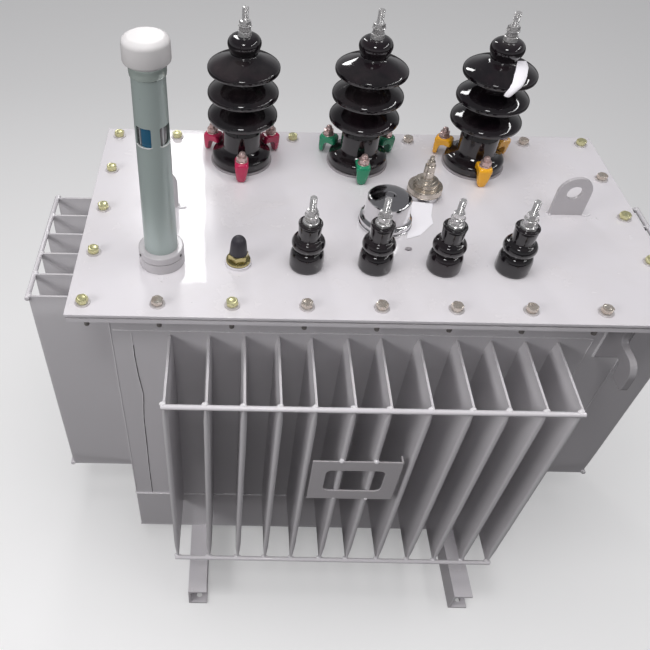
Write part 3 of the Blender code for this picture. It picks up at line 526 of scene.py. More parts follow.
def makePorcelain():
    # Thick dark glaze, slightly pooled and warmer where it thins, with pinholes
    material, tree, shader, place = startMaterial("brown glaze", (0.03, 0.015, 0.017, 1))
    thin = rescale(noiseAt(place, 16, 4, 0.6, 0.8), 0.4, 0.75)
    base = blendColor(thin, screenColor(16, 13, 17), screenColor(32, 22, 27))
    dustOver(tree, shader, {"Dust Color": screenColor(120, 110, 108), "Dust": 0.12, "Specks": 0.4}, place, base, 0.06)
    feedAll(shader, {"IOR": 1.56, "Coat Weight": 0.6, "Coat Roughness": 0.03})
    bumpFrom(tree, noiseAt(place, 34, 3, 0.45, 0.3) * 0.0009 + noiseAt(place, 260, 2) * 0.00003, shader)
    return material


def makeMetal(name, color, tarnishColor, tarnish, roughness, rings=900.0, ringHeight=0.00001, dust=0.1,
              metallic=1.0):
    look = {"Color": screenColor(*color), "Tarnish Color": screenColor(*tarnishColor), "Tarnish": tarnish,
            "Roughness": roughness, "Rings": rings, "Ring Height": ringHeight,
            "Dust Color": screenColor(150, 142, 132), "Dust": dust, "Specks": 0.3}
    material, tree, shader, place = startMaterial(name, look["Color"])
    grain = useGroup(tree, machinedGrain, look, {"Vector": place})
    dustOver(tree, shader, look, place, grain["Color"], grain["Roughness"])
    feedAll(shader, {"Metallic": metallic})
    bumpFrom(tree, grain["Height"], shader)
    return material


def makePlain(name, color, roughness, clouds, peelSize, peelHeight, dust, dustColor):
    # Rubber, plastic and paper: a matt body with its own fine relief
    look = {"Color": screenColor(*color), "Clouds": clouds, "Roughness": roughness, "Roughness Spread": 0.15,
            "Peel Size": peelSize, "Peel Height": peelHeight, "Wave Size": 40.0, "Wave Height": peelHeight * 3,
            "Dust Color": screenColor(*dustColor), "Dust": dust, "Specks": 0.25}
    material, tree, shader, place = startMaterial(name, look["Color"])
    film = useGroup(tree, paintFilm, look, {"Vector": place})
    dustOver(tree, shader, look, place, film["Color"], film["Roughness"])
    bumpFrom(tree, film["Height"], shader)
    return material


def makeGaugeGlass(centre, bands):
    # Sight glass: the colours behind it, two painted highlights among them, change with the angle round the tube
    material, tree, shader, place = startMaterial("gauge glass", (0.1, 0.3, 0.42, 1))
    parts = splitVector(place)
    angle = (parts[1] - centre[1]).calc("ARCTAN2", parts[0] - centre[0])
    around = (angle / (2 * math.pi) + 1.0).calc("MODULO", 1.0)
    color = flowFrom(tree, "ShaderNodeValToRGB", {"Fac": around}, "Color")
    ramp = color.socket.node.color_ramp
    ramp.interpolation = "LINEAR"
    while len(ramp.elements) < len(bands):
        ramp.elements.new(0.5)
    for element, (position, shade) in zip(ramp.elements, bands):
        element.position = position
        element.color = screenColor(*shade)
    cloudy = rescale(noiseAt(place, 60, 3), 0.3, 0.7, 0.85, 1.1)
    feedAll(shader, {"Base Color": scaleColor(color, cloudy), "Roughness": 0.06, "Coat Weight": 1.0,
                     "Coat Roughness": 0.02})
    return material


enamelBase = {
    "Color": screenColor(221, 217, 221), "Clouds": 0.03, "Roughness": 0.24, "Roughness Spread": 0.12,
    "Peel Size": 210.0, "Peel Height": 0.000012, "Wave Size": 5.5, "Wave Height": 0.0007,
    "Under Color": screenColor(150, 146, 144), "Chip Size": 60.0, "Chips": 0.1, "Dust": 0.16,
    "Dust Color": screenColor(196, 188, 180), "Specks": 0.35, "Coat Weight": 0.5, "Metallic": 0.0}
greyEnamel = makeEnamel("grey enamel", enamelBase)
finEnamel = makeEnamel("fin enamel", {
    **enamelBase, "Color": screenColor(208, 205, 208), "Clouds": 0.05, "Roughness": 0.33, "Coat Weight": 0.2,
    "Wave Size": 3.0, "Wave Height": 0.0009, "Dust": 0.25, "Specks": 0.2})
# Darker copy of the grey enamel for the lugs, the bracket and the gauge socket: painted shade
shadedFittingEnamel = makeEnamel("fitting enamel", {**enamelBase, "Color": screenColor(188, 184, 187)})
# Darker copy of the grey enamel for the hooks: painted shade, as the cover's overhang keeps light off them
shadedHookEnamel = makeEnamel("hook enamel", {**enamelBase, "Color": screenColor(152, 149, 152)})
weldEnamel = makeEnamel("enamel over welds", {
    **enamelBase, "Color": screenColor(228, 225, 228), "Roughness": 0.2, "Peel Size": 420.0, "Peel Height": 0.00012,
    "Wave Size": 60.0, "Wave Height": 0.0008})
clawBase = {
    **enamelBase, "Clouds": 0.12, "Roughness": 0.26, "Peel Size": 520.0, "Peel Height": 0.00007, "Wave Size": 90.0,
    "Wave Height": 0.0005, "Chip Size": 120.0, "Chips": 0.55, "Under Color": screenColor(70, 62, 60), "Dust": 0.1,
    "Dust Color": screenColor(150, 140, 135), "Specks": 0.5}
redEnamel = makeEnamel("crimson enamel", {**clawBase, "Color": screenColor(186, 28, 78)})
greenEnamel = makeEnamel("green enamel", {**clawBase, "Color": screenColor(24, 140, 100)})
yellowEnamel = makeEnamel("yellow enamel", {**clawBase, "Color": screenColor(240, 172, 24)})
tubeEnamel = makeEnamel("grey-green enamel", {
    **enamelBase, "Color": screenColor(178, 190, 187), "Clouds": 0.02, "Roughness": 0.34, "Metallic": 0.3,
    "Coat Weight": 0.15, "Wave Size": 8.0, "Wave Height": 0.0001, "Dust": 0.0, "Chips": 0.0, "Specks": 0.2})
brownGlaze = makePorcelain()
zincSteel = makeMetal("zinc plated steel", (234, 233, 233), (176, 170, 166), 0.3, 0.2, 1400.0, 0.000012,
                      metallic=0.75)
pinkZinc = makeMetal("clear passivated zinc", (220, 213, 204), (194, 170, 150), 0.6, 0.22, metallic=0.72)
rosyZinc = makeMetal("rosy passivated zinc", (220, 198, 194), (202, 160, 154), 0.7, 0.26, metallic=0.75)
yellowZinc = makeMetal("yellow passivated zinc", (224, 222, 176), (208, 196, 128), 0.5, 0.26,
                       metallic=0.72)
paleZinc = makeMetal("pale washers", (212, 207, 208), (190, 182, 180), 0.3, 0.4, metallic=0.4)
# Darker metal for the nuts and bolt ends under the rim: painted shade
shadedThread = makeMetal("oiled thread", (156, 151, 148), (92, 88, 85), 0.5, 0.4, metallic=0.5)
collarMetal = makeMetal("collar metal", (198, 210, 204), (180, 190, 184), 0.2, 0.16, 200.0, 0.000001,
                        0.0, metallic=0.45)
brightChrome = makeMetal("chrome", (226, 225, 226), (190, 188, 188), 0.15, 0.045, 300.0, 0.000002,
                         0.05)
nickelPlate = makeMetal("nickel plate", (214, 205, 194), (180, 164, 144), 0.4, 0.2, 700.0, 0.000012,
                        metallic=0.8)
yellowBrass = makeMetal("brass", (214, 202, 146), (150, 134, 84), 0.45, 0.22, 800.0)
blackRubber = makePlain("black rubber", (52, 50, 56), 0.42, 0.1, 700.0, 0.00002, 0.3, (120, 116, 116))
gasketRubber = makePlain("gasket", (66, 63, 64), 0.7, 0.15, 500.0, 0.00006, 0.3, (150, 145, 140))
greyGasket = makePlain("grey gasket", (158, 152, 156), 0.6, 0.1, 500.0, 0.00004, 0.2, (170, 165, 160))
whitePlastic = makePlain("white plastic", (212, 209, 209), 0.42, 0.02, 600.0, 0.00001, 0.0,
                         (205, 200, 195))
whitePaper = makePlain("white paper", (246, 243, 248), 0.75, 0.02, 900.0, 0.00003, 0.0,
                       (180, 175, 170))
print("materials ready")


# Shared shapes
def unitSheet(tree, given, columns, rows):
    # A flat grid to be shaped into a skin, with each point's place on it, -0.5 to 0.5
    sheet = flowFrom(tree, "GeometryNodeMeshGrid", {
        "Size X": 1, "Size Y": 1, "Vertices X": given[columns], "Vertices Y": given[rows]}, "Mesh")
    return sheet, splitVector(flowFrom(tree, "GeometryNodeInputPosition"))


def copyShaped(tree, sheet, place, gap, points):
    # Moves the grid's points to their places, welds its edges, and stands a copy on each point
    shaped = flowFrom(tree, "GeometryNodeSetPosition", {"Geometry": sheet, "Position": place})
    welded = flowFrom(tree, "GeometryNodeMergeByDistance", {"Geometry": shaped, "Distance": gap})
    smooth = flowFrom(tree, "GeometryNodeSetShadeSmooth", {0: welded})
    return flowFrom(tree, "GeometryNodeInstanceOnPoints", {"Points": points, "Instance": smooth})


def randomSize(tree, given, seed):
    return flowFrom(tree, "FunctionNodeRandomValue", {2: given["Smallest"], 3: given["Largest"], "Seed": seed}, 1,
                    data_type="FLOAT")


def makeFinTree():
    # A row of pinched cooling fins along X, standing out towards +Y from the wall's face
    tree, given, result = startShape("finRow", {
        "Face": 0.2, "Depth": 0.14, "Thickness": 0.01, "End Thickness": 0.004, "End Roundness": 0.3,
        "Pinch Length": 0.05, "Base": 0.2, "Height": 0.56, "Tip Drop": 0.0, "Sink": 0.0015, "Waviness": 0.0008,
        "Around": 41, "Levels": 61})
    sheet, spot = unitSheet(tree, given, "Around", "Levels")
    u, v = spot[0] + 0.5, spot[1] + 0.5
    # Up the fin: the first and last levels turn over the pinched ends
    ends = v.calc("MINIMUM", 1.0 - v)
    quarterTurn = rescale(ends, 0.0, 0.07) * (math.pi / 2)
    climb = 1.0 - quarterTurn.calc("COSINE")
    halfEnd = given["End Thickness"] * 0.5
    halfFull = given["Thickness"] * 0.5
    # Levels crowd near the ends, where the form changes
    crowded = rescale(ends, 0.07, 0.5).calc("POWER", 1.7)
    endRound = halfEnd * given["End Roundness"]
    inwards = endRound * climb + crowded * (given["Height"] * 0.5 - endRound)
    level = inwards + v.calc("GREATER_THAN", 0.5) * (given["Height"] - inwards * 2.0)
    # Round the fin: up one face, over the tip, down the other
    tip = rescale(u, 0.35, 0.65, math.pi, 0.0)
    along = rescale(u, 0.0, 0.35).calc("MINIMUM", rescale(u, 0.65, 1.0, 1.0, 0.0))
    # The pinch reaches further down at the tip than at the wall
    reach = given["Pinch Length"] * rescale(along, 0.0, 1.0, 0.35, 1.0)
    swell = rescale(inwards, 0.004, reach, smooth=True)
    half = (halfEnd + swell * (halfFull - halfEnd)) * quarterTurn.calc("SINE").calc("POWER", 0.7)
    rootLine = given["Face"] - given["Sink"]
    depthHere = rootLine + along * (given["Face"] + given["Depth"] - half - rootLine)
    fall = along * given["Tip Drop"] * rescale(v, 0.6, 1.0)
    place = joinVector(tree, half * tip.calc("COSINE"), depthHere + half * tip.calc("SINE"),
                       given["Base"] + level - fall)
    row = flowFrom(tree, "GeometryNodeRealizeInstances", {
        0: copyShaped(tree, sheet, place, 0.00002, given["Geometry"])})
    # Each fin's sheet bulges a little in its own way
    place = flowFrom(tree, "GeometryNodeInputPosition")
    ripple = noiseAt(place, 9.0, 1.5) - 0.5
    height, top = splitVector(place)[2], given["Base"] + given["Height"]
    free = (rescale(height, given["Base"], given["Base"] + 0.08, smooth=True)
            * rescale(height, top - 0.08, top, 1.0, 0.0, smooth=True))
    bulged = flowFrom(tree, "GeometryNodeSetPosition", {
        "Geometry": row, "Offset": joinVector(tree, ripple * free * given["Waviness"], 0.0, 0.0)})
    return endShape(tree, given, result, bulged, realize=False)


def makeThreadTree():
    # A threaded rod standing on each point
    tree, given, result = startShape("threadedRod", {
        "Length": 0.04, "Radius": 0.006, "Pitch": 0.00175, "Depth": 0.0009, "Around": 25, "Rows": 150})
    sheet, spot = unitSheet(tree, given, "Around", "Rows")
    turn = spot[0] + 0.5
    # The first and last rows close the ends
    height = rescale(spot[1], -0.49, 0.49) * given["Length"]
    groove = (height / given["Pitch"] - turn).calc("PINGPONG", 0.5) * 2.0 * given["Depth"]
    chamfer = rescale(given["Length"] - height, 0.0, 0.0016, 1.0, 0.0) * 0.0012
    inside = spot[1].calc("ABSOLUTE").calc("LESS_THAN", 0.4999)
    radius = (given["Radius"] - groove - chamfer) * inside
    angle = turn * (2 * math.pi)
    place = joinVector(tree, radius * angle.calc("COSINE"), radius * angle.calc("SINE"), height)
    return endShape(tree, given, result, copyShaped(tree, sheet, place, 0.00001, given["Geometry"]))


def makeScatterTree():
    # The same small part on every point, each turned and sized a little differently
    tree, given, result = startShape("partOnPoints", {
        "Part": "Object", "Tilt": 0.0, "Smallest": 1.0, "Largest": 1.0, "Seed": 1})
    tilt = given["Tilt"]
    part = flowFrom(tree, "GeometryNodeObjectInfo", {"Object": given["Part"]}, "Geometry")
    turned = flowFrom(tree, "FunctionNodeRandomValue", {
        "Min": joinVector(tree, tilt * -1.0, tilt * -1.0, 0.0), "Max": joinVector(tree, tilt, tilt, 2 * math.pi),
        "Seed": given["Seed"]}, data_type="FLOAT_VECTOR")
    copies = flowFrom(tree, "GeometryNodeInstanceOnPoints", {
        "Points": given["Geometry"], "Instance": part, "Rotation": turned,
        "Scale": randomSize(tree, given, given["Seed"] + 7.0)})
    return endShape(tree, given, result, copies)


def makeBeadTree():
    # A weld bead along each line: a lumpy, rippled ridge
    tree, given, result = startShape("weldBead", {
        "Radius": 0.0025, "Step": 0.0012, "Ripple": 0.004, "Ripple Depth": 0.15, "Lumps": 0.35, "Lump Size": 60.0})
    curve = flowFrom(tree, "GeometryNodeMeshToCurve", {"Mesh": given["Geometry"]})
    even = flowFrom(tree, "GeometryNodeResampleCurve", {"Curve": curve, "Length": given["Step"]}, mode="LENGTH")
    along = flowFrom(tree, "GeometryNodeSplineParameter", output="Length")
    wave = (along / given["Ripple"] * (2 * math.pi)).calc("SINE")
    lump = noiseAt(flowFrom(tree, "GeometryNodeInputPosition"), given["Lump Size"], 2) - 0.5
    factor = wave * given["Ripple Depth"] + lump * (given["Lumps"] * 2.0) + 1.0
    thick = flowFrom(tree, "GeometryNodeSetCurveRadius", {"Curve": even, "Radius": factor})
    ring = flowFrom(tree, "GeometryNodeCurvePrimitiveCircle", {"Resolution": 10, "Radius": given["Radius"]})
    tube = flowFrom(tree, "GeometryNodeCurveToMesh", {"Curve": thick, "Profile Curve": ring, "Fill Caps": True})
    tubeInputs = tube.socket.node.inputs
    if "Scale" in tubeInputs:
        feed(tubeInputs["Scale"], factor)
    return endShape(tree, given, result, flowFrom(tree, "GeometryNodeSetShadeSmooth", {0: tube}))


def makeSpatterTree():
    # Drops of weld spatter over a patch of surface
    tree, given, result = startShape("weldSpatter", {
        "Density": 2000.0, "Smallest": 0.0004, "Largest": 0.0013, "Seed": 1})
    spread = flowFrom(tree, "GeometryNodeDistributePointsOnFaces", {
        "Mesh": given["Geometry"], "Density": given["Density"], "Seed": given["Seed"]}, "Points")
    drop = flowFrom(tree, "GeometryNodeMeshIcoSphere", {"Radius": 1, "Subdivisions": 2}, "Mesh")
    smooth = flowFrom(tree, "GeometryNodeSetShadeSmooth", {0: drop})
    copies = flowFrom(tree, "GeometryNodeInstanceOnPoints", {
        "Points": spread, "Instance": smooth, "Scale": randomSize(tree, given, None)})
    return endShape(tree, given, result, copies)


finTree = makeFinTree()
threadTree = makeThreadTree()
scatterTree = makeScatterTree()
beadTree = makeBeadTree()
spatterTree = makeSpatterTree()


def addThread(work, x, y, low, high, radius, pitch=0.00175, depth=0.0009):
    # A threaded rod standing at (x, y) from one height to another
    rod = runTree(threadTree, pointMesh("foot", [(x, y, low)]), {
        "Length": high - low, "Radius": radius, "Pitch": pitch, "Depth": depth,
        "Rows": int((high - low) / pitch * 6) + 12})
    work.from_mesh(rod)
    bpy.data.meshes.remove(rod)


def scatterPart(work, groups, **spread):
    # Copies one small part to the points of each group; the part itself is taken away afterwards
    part = linkObject("part", meshFrom("part", work))
    for name, points, material, seed in groups:
        mesh = runTree(scatterTree, pointMesh(name + "Points", points), {
            "Part": part, "Seed": seed, "Material": material, **spread})
        mesh.name = name
        finishPiece(name, mesh, material)
    bpy.data.objects.remove(part)


def beadPiece(name, lines, radius, material, **settings):
    mesh = runTree(beadTree, lineMesh(name + "Line", lines), {"Radius": radius, "Material": material, **settings})
    finishPiece(name, mesh, material)


# Corrugated walls
wallSet = {"bottom": 0.0723, "top": 0.8406, "sheet": 0.004, "bandTop": 0.2153, "bandProud": 0.002}
finSet = {"Thickness": 0.0105, "End Thickness": 0.004, "Pinch Length": 0.056, "Base": 0.1945, "Height": 0.5635,
          "Sink": 0.0015, "Waviness": 0.0009}
longSide = {"length": 0.900, "face": 0.219, "count": 12, "pitch": 0.0611, "depth": 0.1445}
shortSide = {"length": 0.4294, "face": 0.450, "count": 6, "pitch": 0.059, "depth": 0.1625}
barSet = {"radius": 0.0047, "sink": 0.0033, "overhang": 0.006, "low": 0.1985, "high": 0.754, "round": 0.0012}
# How far each front fin stands off its even place
frontStrays = (-0.0018, -0.0064, -0.0074, -0.0098, -0.0048, 0.0003, -0.0031, -0.0011, -0.0053, -0.0073, -0.0068, 0.0005)
evenStand = (0,) * longSide["count"]
# Each wall's name, node, side, turn, shift of its fins, strays, and how far the fins' upper ends fall to their tips
walls = (("frontWall", "front_wall", longSide, math.pi, 0.0104, frontStrays, 0.0085),
         ("backWall", "back_wall", longSide, 0.0, -0.0104, evenStand, 0.0085),
         ("leftWall", "left_wall", shortSide, math.pi / 2, 0.018, evenStand, 0.0),
         ("rightWall", "right_wall", shortSide, -math.pi / 2, -0.018, evenStand, 0.0))


def finPlaces(side, shift, strays):
    first = shift - side["pitch"] * (side["count"] - 1) / 2
    return [first + side["pitch"] * index + strays[index] for index in range(side["count"])]


def makeWall(name, node, side, turn, places, drop):
    # Flat wall with its base band, and the row of fins, built facing +Y and turned to its side
    fins = runTree(finTree, pointMesh("finFeet", [(x, 0, 0) for x in places]), {
        **finSet, "Face": side["face"], "Depth": side["depth"], "Tip Drop": drop, "Material": finEnamel})
    work = bmesh.new()
    half, face = side["length"] / 2, side["face"]
    addBlock(work, (-half, face - wallSet["sheet"], wallSet["bottom"]), (half, face, wallSet["top"]), 0.0008)
    addBlock(work, (-half, face - wallSet["sheet"] / 2, wallSet["bottom"]),
             (half, face + wallSet["bandProud"], wallSet["bandTop"]), 0.0012)
    plate = meshFrom(name + "Plate", work)
    work = bmesh.new()
    for part in (plate, fins):
        work.from_mesh(part)
        bpy.data.meshes.remove(part)
    bmesh.ops.transform(work, matrix=Matrix.Rotation(turn, 4, "Z"), verts=work.verts[:])
    mesh = bpy.data.meshes.new(name)
    work.to_mesh(mesh)
    work.free()
    mesh.set_sharp_from_angle(angle=math.radians(32))
    finishPiece(name, flattenShading(mesh), finEnamel, node)


def makeBars(name, side, turn, shift, drop):
    # Two round bars across the tips of the fins
    work = bmesh.new()
    reach = side["face"] + side["depth"] + barSet["radius"] - barSet["sink"]
    half = side["pitch"] * (side["count"] - 1) / 2 + barSet["overhang"]
    corner = barSet["round"]
    inner = barSet["radius"] - corner
    profile = ([(0, half)] + arcPoints((inner, half - corner), corner, 90, 0, 3)
               + arcPoints((inner, corner - half), corner, 0, -90, 3) + [(0, -half)])
    for level in (barSet["low"], barSet["high"] - drop):
        bar = bmesh.new()
        addTurned(bar, profile, segments=20)
        mergeWork(work, bar, Matrix.Translation((shift, reach, level)) @ Matrix.Rotation(math.pi / 2, 4, "Y"))
    bmesh.ops.transform(work, matrix=Matrix.Rotation(turn, 4, "Z"), verts=work.verts[:])
    finishPiece(name, meshFrom(name, work), greyEnamel)


for name, node, side, turn, shift, strays, drop in walls:
    makeWall(name, node, side, turn, finPlaces(side, shift, strays), drop)
    makeBars(name + "Bars", side, turn, shift, drop)
print("walls, fins and bars built")


# Cover, skids and lifting gear
coverSet = {"length": 1.013, "width": 0.546, "thick": 0.006, "soften": 0.0011}
skidSet = {"height": 0.0657, "flange": 0.043, "web": 0.005, "flangeThick": 0.0075, "length": 0.774, "spacing": 0.612,
           "hole": 0.007, "holeInset": 0.019, "toe": 0.002, "lip": 0.003, "fillet": 0.005}
lugSet = {"x": 0.3735, "y": 0.010, "width": 0.062, "thick": 0.007, "eyeHeight": 0.0485, "eye": 0.0135}
hookSet = {"thick": 0.012, "x": 0.408, "face": 0.2193, "top": 0.8306}
# The underside of the tank's rim, which stays as the CAD has it
rimBottom = 0.8409


def makeCover():
    work = bmesh.new()
    half = (coverSet["length"] / 2, coverSet["width"] / 2)
    addBlock(work, (-half[0], -half[1], coverTop - coverSet["thick"]), (half[0], half[1], coverTop),
             coverSet["soften"], 3)
    flatPiece("coverPlate", work, greyEnamel, "cover", sharp=50)


def makeSkids():
    web, flange, high, thick = (skidSet[key] for key in ("web", "flange", "height", "flangeThick"))
    toe, lip, fillet = (skidSet[key] for key in ("toe", "lip", "fillet"))
    inner = high - thick
    # Rolled channel: rounded toes and filleted roots
    outline = [(0, 0)] + arcPoints((flange - toe, toe), toe, -90, 0, 3)
    outline += arcPoints((flange - lip, thick - 0.0042), lip, 0, 80, 4)
    outline += arcPoints((web + fillet, thick + 0.0052), fillet, -90, -180, 5)
    outline += arcPoints((web + fillet, inner - 0.0052), fillet, 180, 90, 5)
    outline += arcPoints((flange - lip, inner + 0.0042), lip, -80, 0, 4)
    outline += arcPoints((flange - toe, high - toe), toe, 0, 90, 3) + [(0, high)]
    hole = [(0, 0.012), (skidSet["hole"], 0.012), (skidSet["hole"], -0.004), (0, -0.004)]
    for name, node, side in (("skidLeft", "skid_left", -1), ("skidRight", "skid_right", 1)):
        start = side * skidSet["spacing"] / 2 - flange / 2
        work = plateWork(outline, skidSet["length"], Matrix.Translation((start, 0, 0)) @ standUp, soften=0.0006,
                         segments=1)
        skid = finishPiece(name, meshFrom(name, work), greyEnamel, node)
        for end in (-1, 1):
            drill = bmesh.new()
            inset = skidSet["length"] / 2 - skidSet["holeInset"]
            addTurned(drill, hole, (start + (flange + web) / 2, end * inset, 0), 32)
            cutWith(skid, drill)
        skid.data = flattenShading(skid.data)


def makeLugs():
    half = lugSet["width"] / 2
    outline = [(-half, 0), (half, 0)] + arcPoints((0, lugSet["eyeHeight"]), half, 0, 180, 28)
    eye = arcPoints((0, lugSet["eyeHeight"]), lugSet["eye"], 0, 360, 32)[:-1]
    for name, node, side in (("lugLeft", "cover_lug_left", -1), ("lugRight", "cover_lug_right", 1)):
        place = Matrix.Translation((side * lugSet["x"], lugSet["y"], coverTop)) @ standUp
        flatPiece(name, plateWork(outline, lugSet["thick"], place, [eye], 0.0009), shadedFittingEnamel, node)


def makeHooks():
    # Outline outwards from the wall and down from the top of the root
    outline = [(0, 0), (0.038, 0)]
    for centre, radius, start, end, steps in (
            ((0.048, -0.0166), 0.010, 180, 270, 8), ((0.072, -0.0531), 0.0265, 90, 0, 12),
            ((0.0895, -0.0756), 0.009, 0, -90, 7), ((0.0674, -0.0806), 0.004, -90, -180, 4),
            ((0.0543, -0.0571), 0.006, 0, 139, 9)):
        outline += arcPoints(centre, radius, start, end, steps)
    outline += [(0, -0.1106)]
    upright = Matrix(((0, 0, 1, 0), (1, 0, 0, 0), (0, 1, 0, 0), (0, 0, 0, 1)))
    for name, node, side in (("hookBack", "lifting_hook_back", 1), ("hookFront", "lifting_hook_front", -1)):
        turn = Matrix.Rotation(0 if side > 0 else math.pi, 4, "Z")
        place = Matrix.Translation((-side * hookSet["x"], side * hookSet["face"], hookSet["top"])) @ turn @ upright
        flatPiece(name, plateWork(outline, hookSet["thick"], place, soften=0.0013, segments=3), shadedHookEnamel, node)


makeCover()
makeSkids()
makeLugs()
makeHooks()
for node, material in (("tank_rim", greyEnamel), ("tank_floor", greyEnamel), ("cover_gasket", gasketRubber)):
    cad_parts[node].data.materials.clear()
    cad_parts[node].data.materials.append(material)
print("cover, skids, lugs and hooks built")


# Name-plate bracket
bracketSet = {"x": -0.0115, "z": 0.531, "face": -0.3653, "width": 0.161, "height": 0.128, "thick": 0.003,
              "fold": 0.0137, "window": (0.107, 0.070), "corner": 0.012, "soften": 0.0007}


def makeBracket():
    x, z, face, thick, soften = (bracketSet[key] for key in ("x", "z", "face", "thick", "soften"))
    half = (bracketSet["width"] / 2, bracketSet["height"] / 2)
    outline = [(-half[0], -half[1]), (half[0], -half[1]), (half[0], half[1]), (-half[0], half[1])]
    window = roundedWindow(*bracketSet["window"], bracketSet["corner"], 8)
    work = plateWork(outline, thick, Matrix.Translation((x, face, z)) @ standUp, [window], soften)
    right = x + half[0]
    addBlock(work, (right - thick, face - thick / 2, z - half[1]), (right, face + bracketSet["fold"], z + half[1]),
             soften)
    flatPiece("namePlateBracket", work, shadedFittingEnamel, "nameplate_bracket")


makeBracket()
print("bracket built")


# Cover bolts
boltSet = {"pitchX": 0.12, "pitchY": 0.1225, "flats": 0.0176, "head": 0.0074, "washer": 0.0128, "washerThick": 0.0018,
           "spring": 0.0082, "springThick": 0.0018, "end": 0.808, "radius": 0.0043, "nutTop": -0.0022,
           "nutBottom": -0.0102,
           "yellow": {(0, 0), (2, 0), (0, 1), (0, 2), (0, 3), (0, 4), (1, 4), (3, 4), (6, 4), (8, 4), (8, 2), (8, 1)}}


def makeCoverBolts():
    places = [(column, row) for column in range(9) for row in range(5) if column in (0, 8) or row in (0, 4)]
    spots = {place: ((place[0] - 4) * boltSet["pitchX"], (place[1] - 2) * boltSet["pitchY"], coverTop)
             for place in places}
    washer, base = boltSet["washer"], boltSet["washerThick"]
    work = bmesh.new()
    addTurned(work, [(0, base), (washer - 0.0006, base), (washer, base - 0.0006), (washer, 0.0001), (0, 0.0001)],
              segments=36)
    scatterPart(work, [("coverWashers", list(spots.values()), paleZinc, 6)])
    spring, head = boltSet["spring"], base + boltSet["springThick"]
    top = head + boltSet["head"]
    work = bmesh.new()
    addTurned(work, [(0, head), (spring, head), (spring, base + 0.0001), (0, base + 0.0001)], segments=28)
    addHexagon(work, (0, 0), boltSet["flats"], head, top, chamfer=0.07)
    # Raised face within the head's corners
    addTurned(work, [(0, top - 0.0003), (0.0050, top - 0.0002), (0.0060, top + 0.0003), (0.0076, top + 0.0003),
                     (0.0080, top - 0.0003), (0, top - 0.0010)], segments=28)
    yellow = boltSet["yellow"]
    scatterPart(work, [("yellowCoverBolts", [spots[place] for place in places if place in yellow], yellowZinc, 3),
                       ("silverCoverBolts", [spots[place] for place in places if place not in yellow], pinkZinc, 8)],
                Tilt=0.02)
    # Under the rim: washer, nut and the bolt's end, in a darker metal that paints the shade under the rim
    low, nutTop = boltSet["nutBottom"], boltSet["nutTop"]
    work = bmesh.new()
    addTurned(work, [(0, -0.0003), (washer, -0.0003), (washer, nutTop), (0, nutTop)], segments=28)
    addHexagon(work, (0, 0), boltSet["flats"], low, nutTop)
    addThread(work, 0, 0, boltSet["end"] - rimBottom, low, boltSet["radius"], 0.0015, 0.0008)
    scatterPart(work, [("coverNuts", [(x, y, rimBottom) for x, y, z in spots.values()], shadedThread, 5)])


makeCoverBolts()
print("cover bolts built")


# High-voltage bushings
hvSet = {"places": (-0.2267, 0.005, 0.2367), "y": 0.169, "gasket": 0.0035, "gasketRadius": 0.0602, "top": 0.2520,
         "studTop": 0.3016, "core": 0.031, "shedRadius": 0.0663,
         # The sheds' heights, each with the core's radius above it
         "sheds": ((0.1942, 0.0243), (0.1455, 0.0310), (0.1000, 0.0310)),
         "head": ((0.0181, 0.2520), (0.0232, 0.2505), (0.0275, 0.2465), (0.0299, 0.2415), (0.0302, 0.2365),
                  (0.0286, 0.2310), (0.0262, 0.2268), (0.0248, 0.2235)),
         # One shed's outline: share of the way out, height from the shed's
         "shed": ((0.36, 0.0172), (0.72, 0.0105), (0.90, 0.0062), (0.985, 0.0029), (1.0, -0.0008), (0.985, -0.0038),
                  (0.93, -0.0053), (0.66, -0.0056), (0.3, -0.0066), (0.06, -0.0090)),
         "foot": ((0.0322, 0.0790), (0.0362, 0.0700), (0.0370, 0.0640), (0.0370, 0.0370), (0.0382, 0.0318),
                  (0.0435, 0.0268), (0.0510, 0.0240), (0.0556, 0.0212), (0.0574, 0.0168), (0.0576, 0.0110))}
clawTurns = {"front": -90, "right": 30, "left": 150}
clawSet = {"half": 0.0128, "across": (-0.0128, -0.0112, -0.0088, -0.0050, 0.0, 0.0050, 0.0088, 0.0112, 0.0128),
           "outer": 0.079, "inner": 0.052, "shoulder": 0.030, "waist": 0.034, "nut": (0.0672, 0.0396)}


def hvProfile():
    points = list(hvSet["head"])
    for height, coreAbove in hvSet["sheds"]:
        points += [(coreAbove + 0.0006, height + 0.0245)]
        for index, (across, up) in enumerate(hvSet["shed"]):
            core = coreAbove if index < 3 else hvSet["core"]
            points.append((core + (hvSet["shedRadius"] - core) * across, height + up))
        points += [(hvSet["core"], height - 0.0150)]
    base = hvSet["gasket"]
    return ([(0, hvSet["top"])] + flowLine(points, 3) + flowLine(hvSet["foot"], 3)
            + [(0.0576, base + 0.001), (0.0566, base), (0, base)])


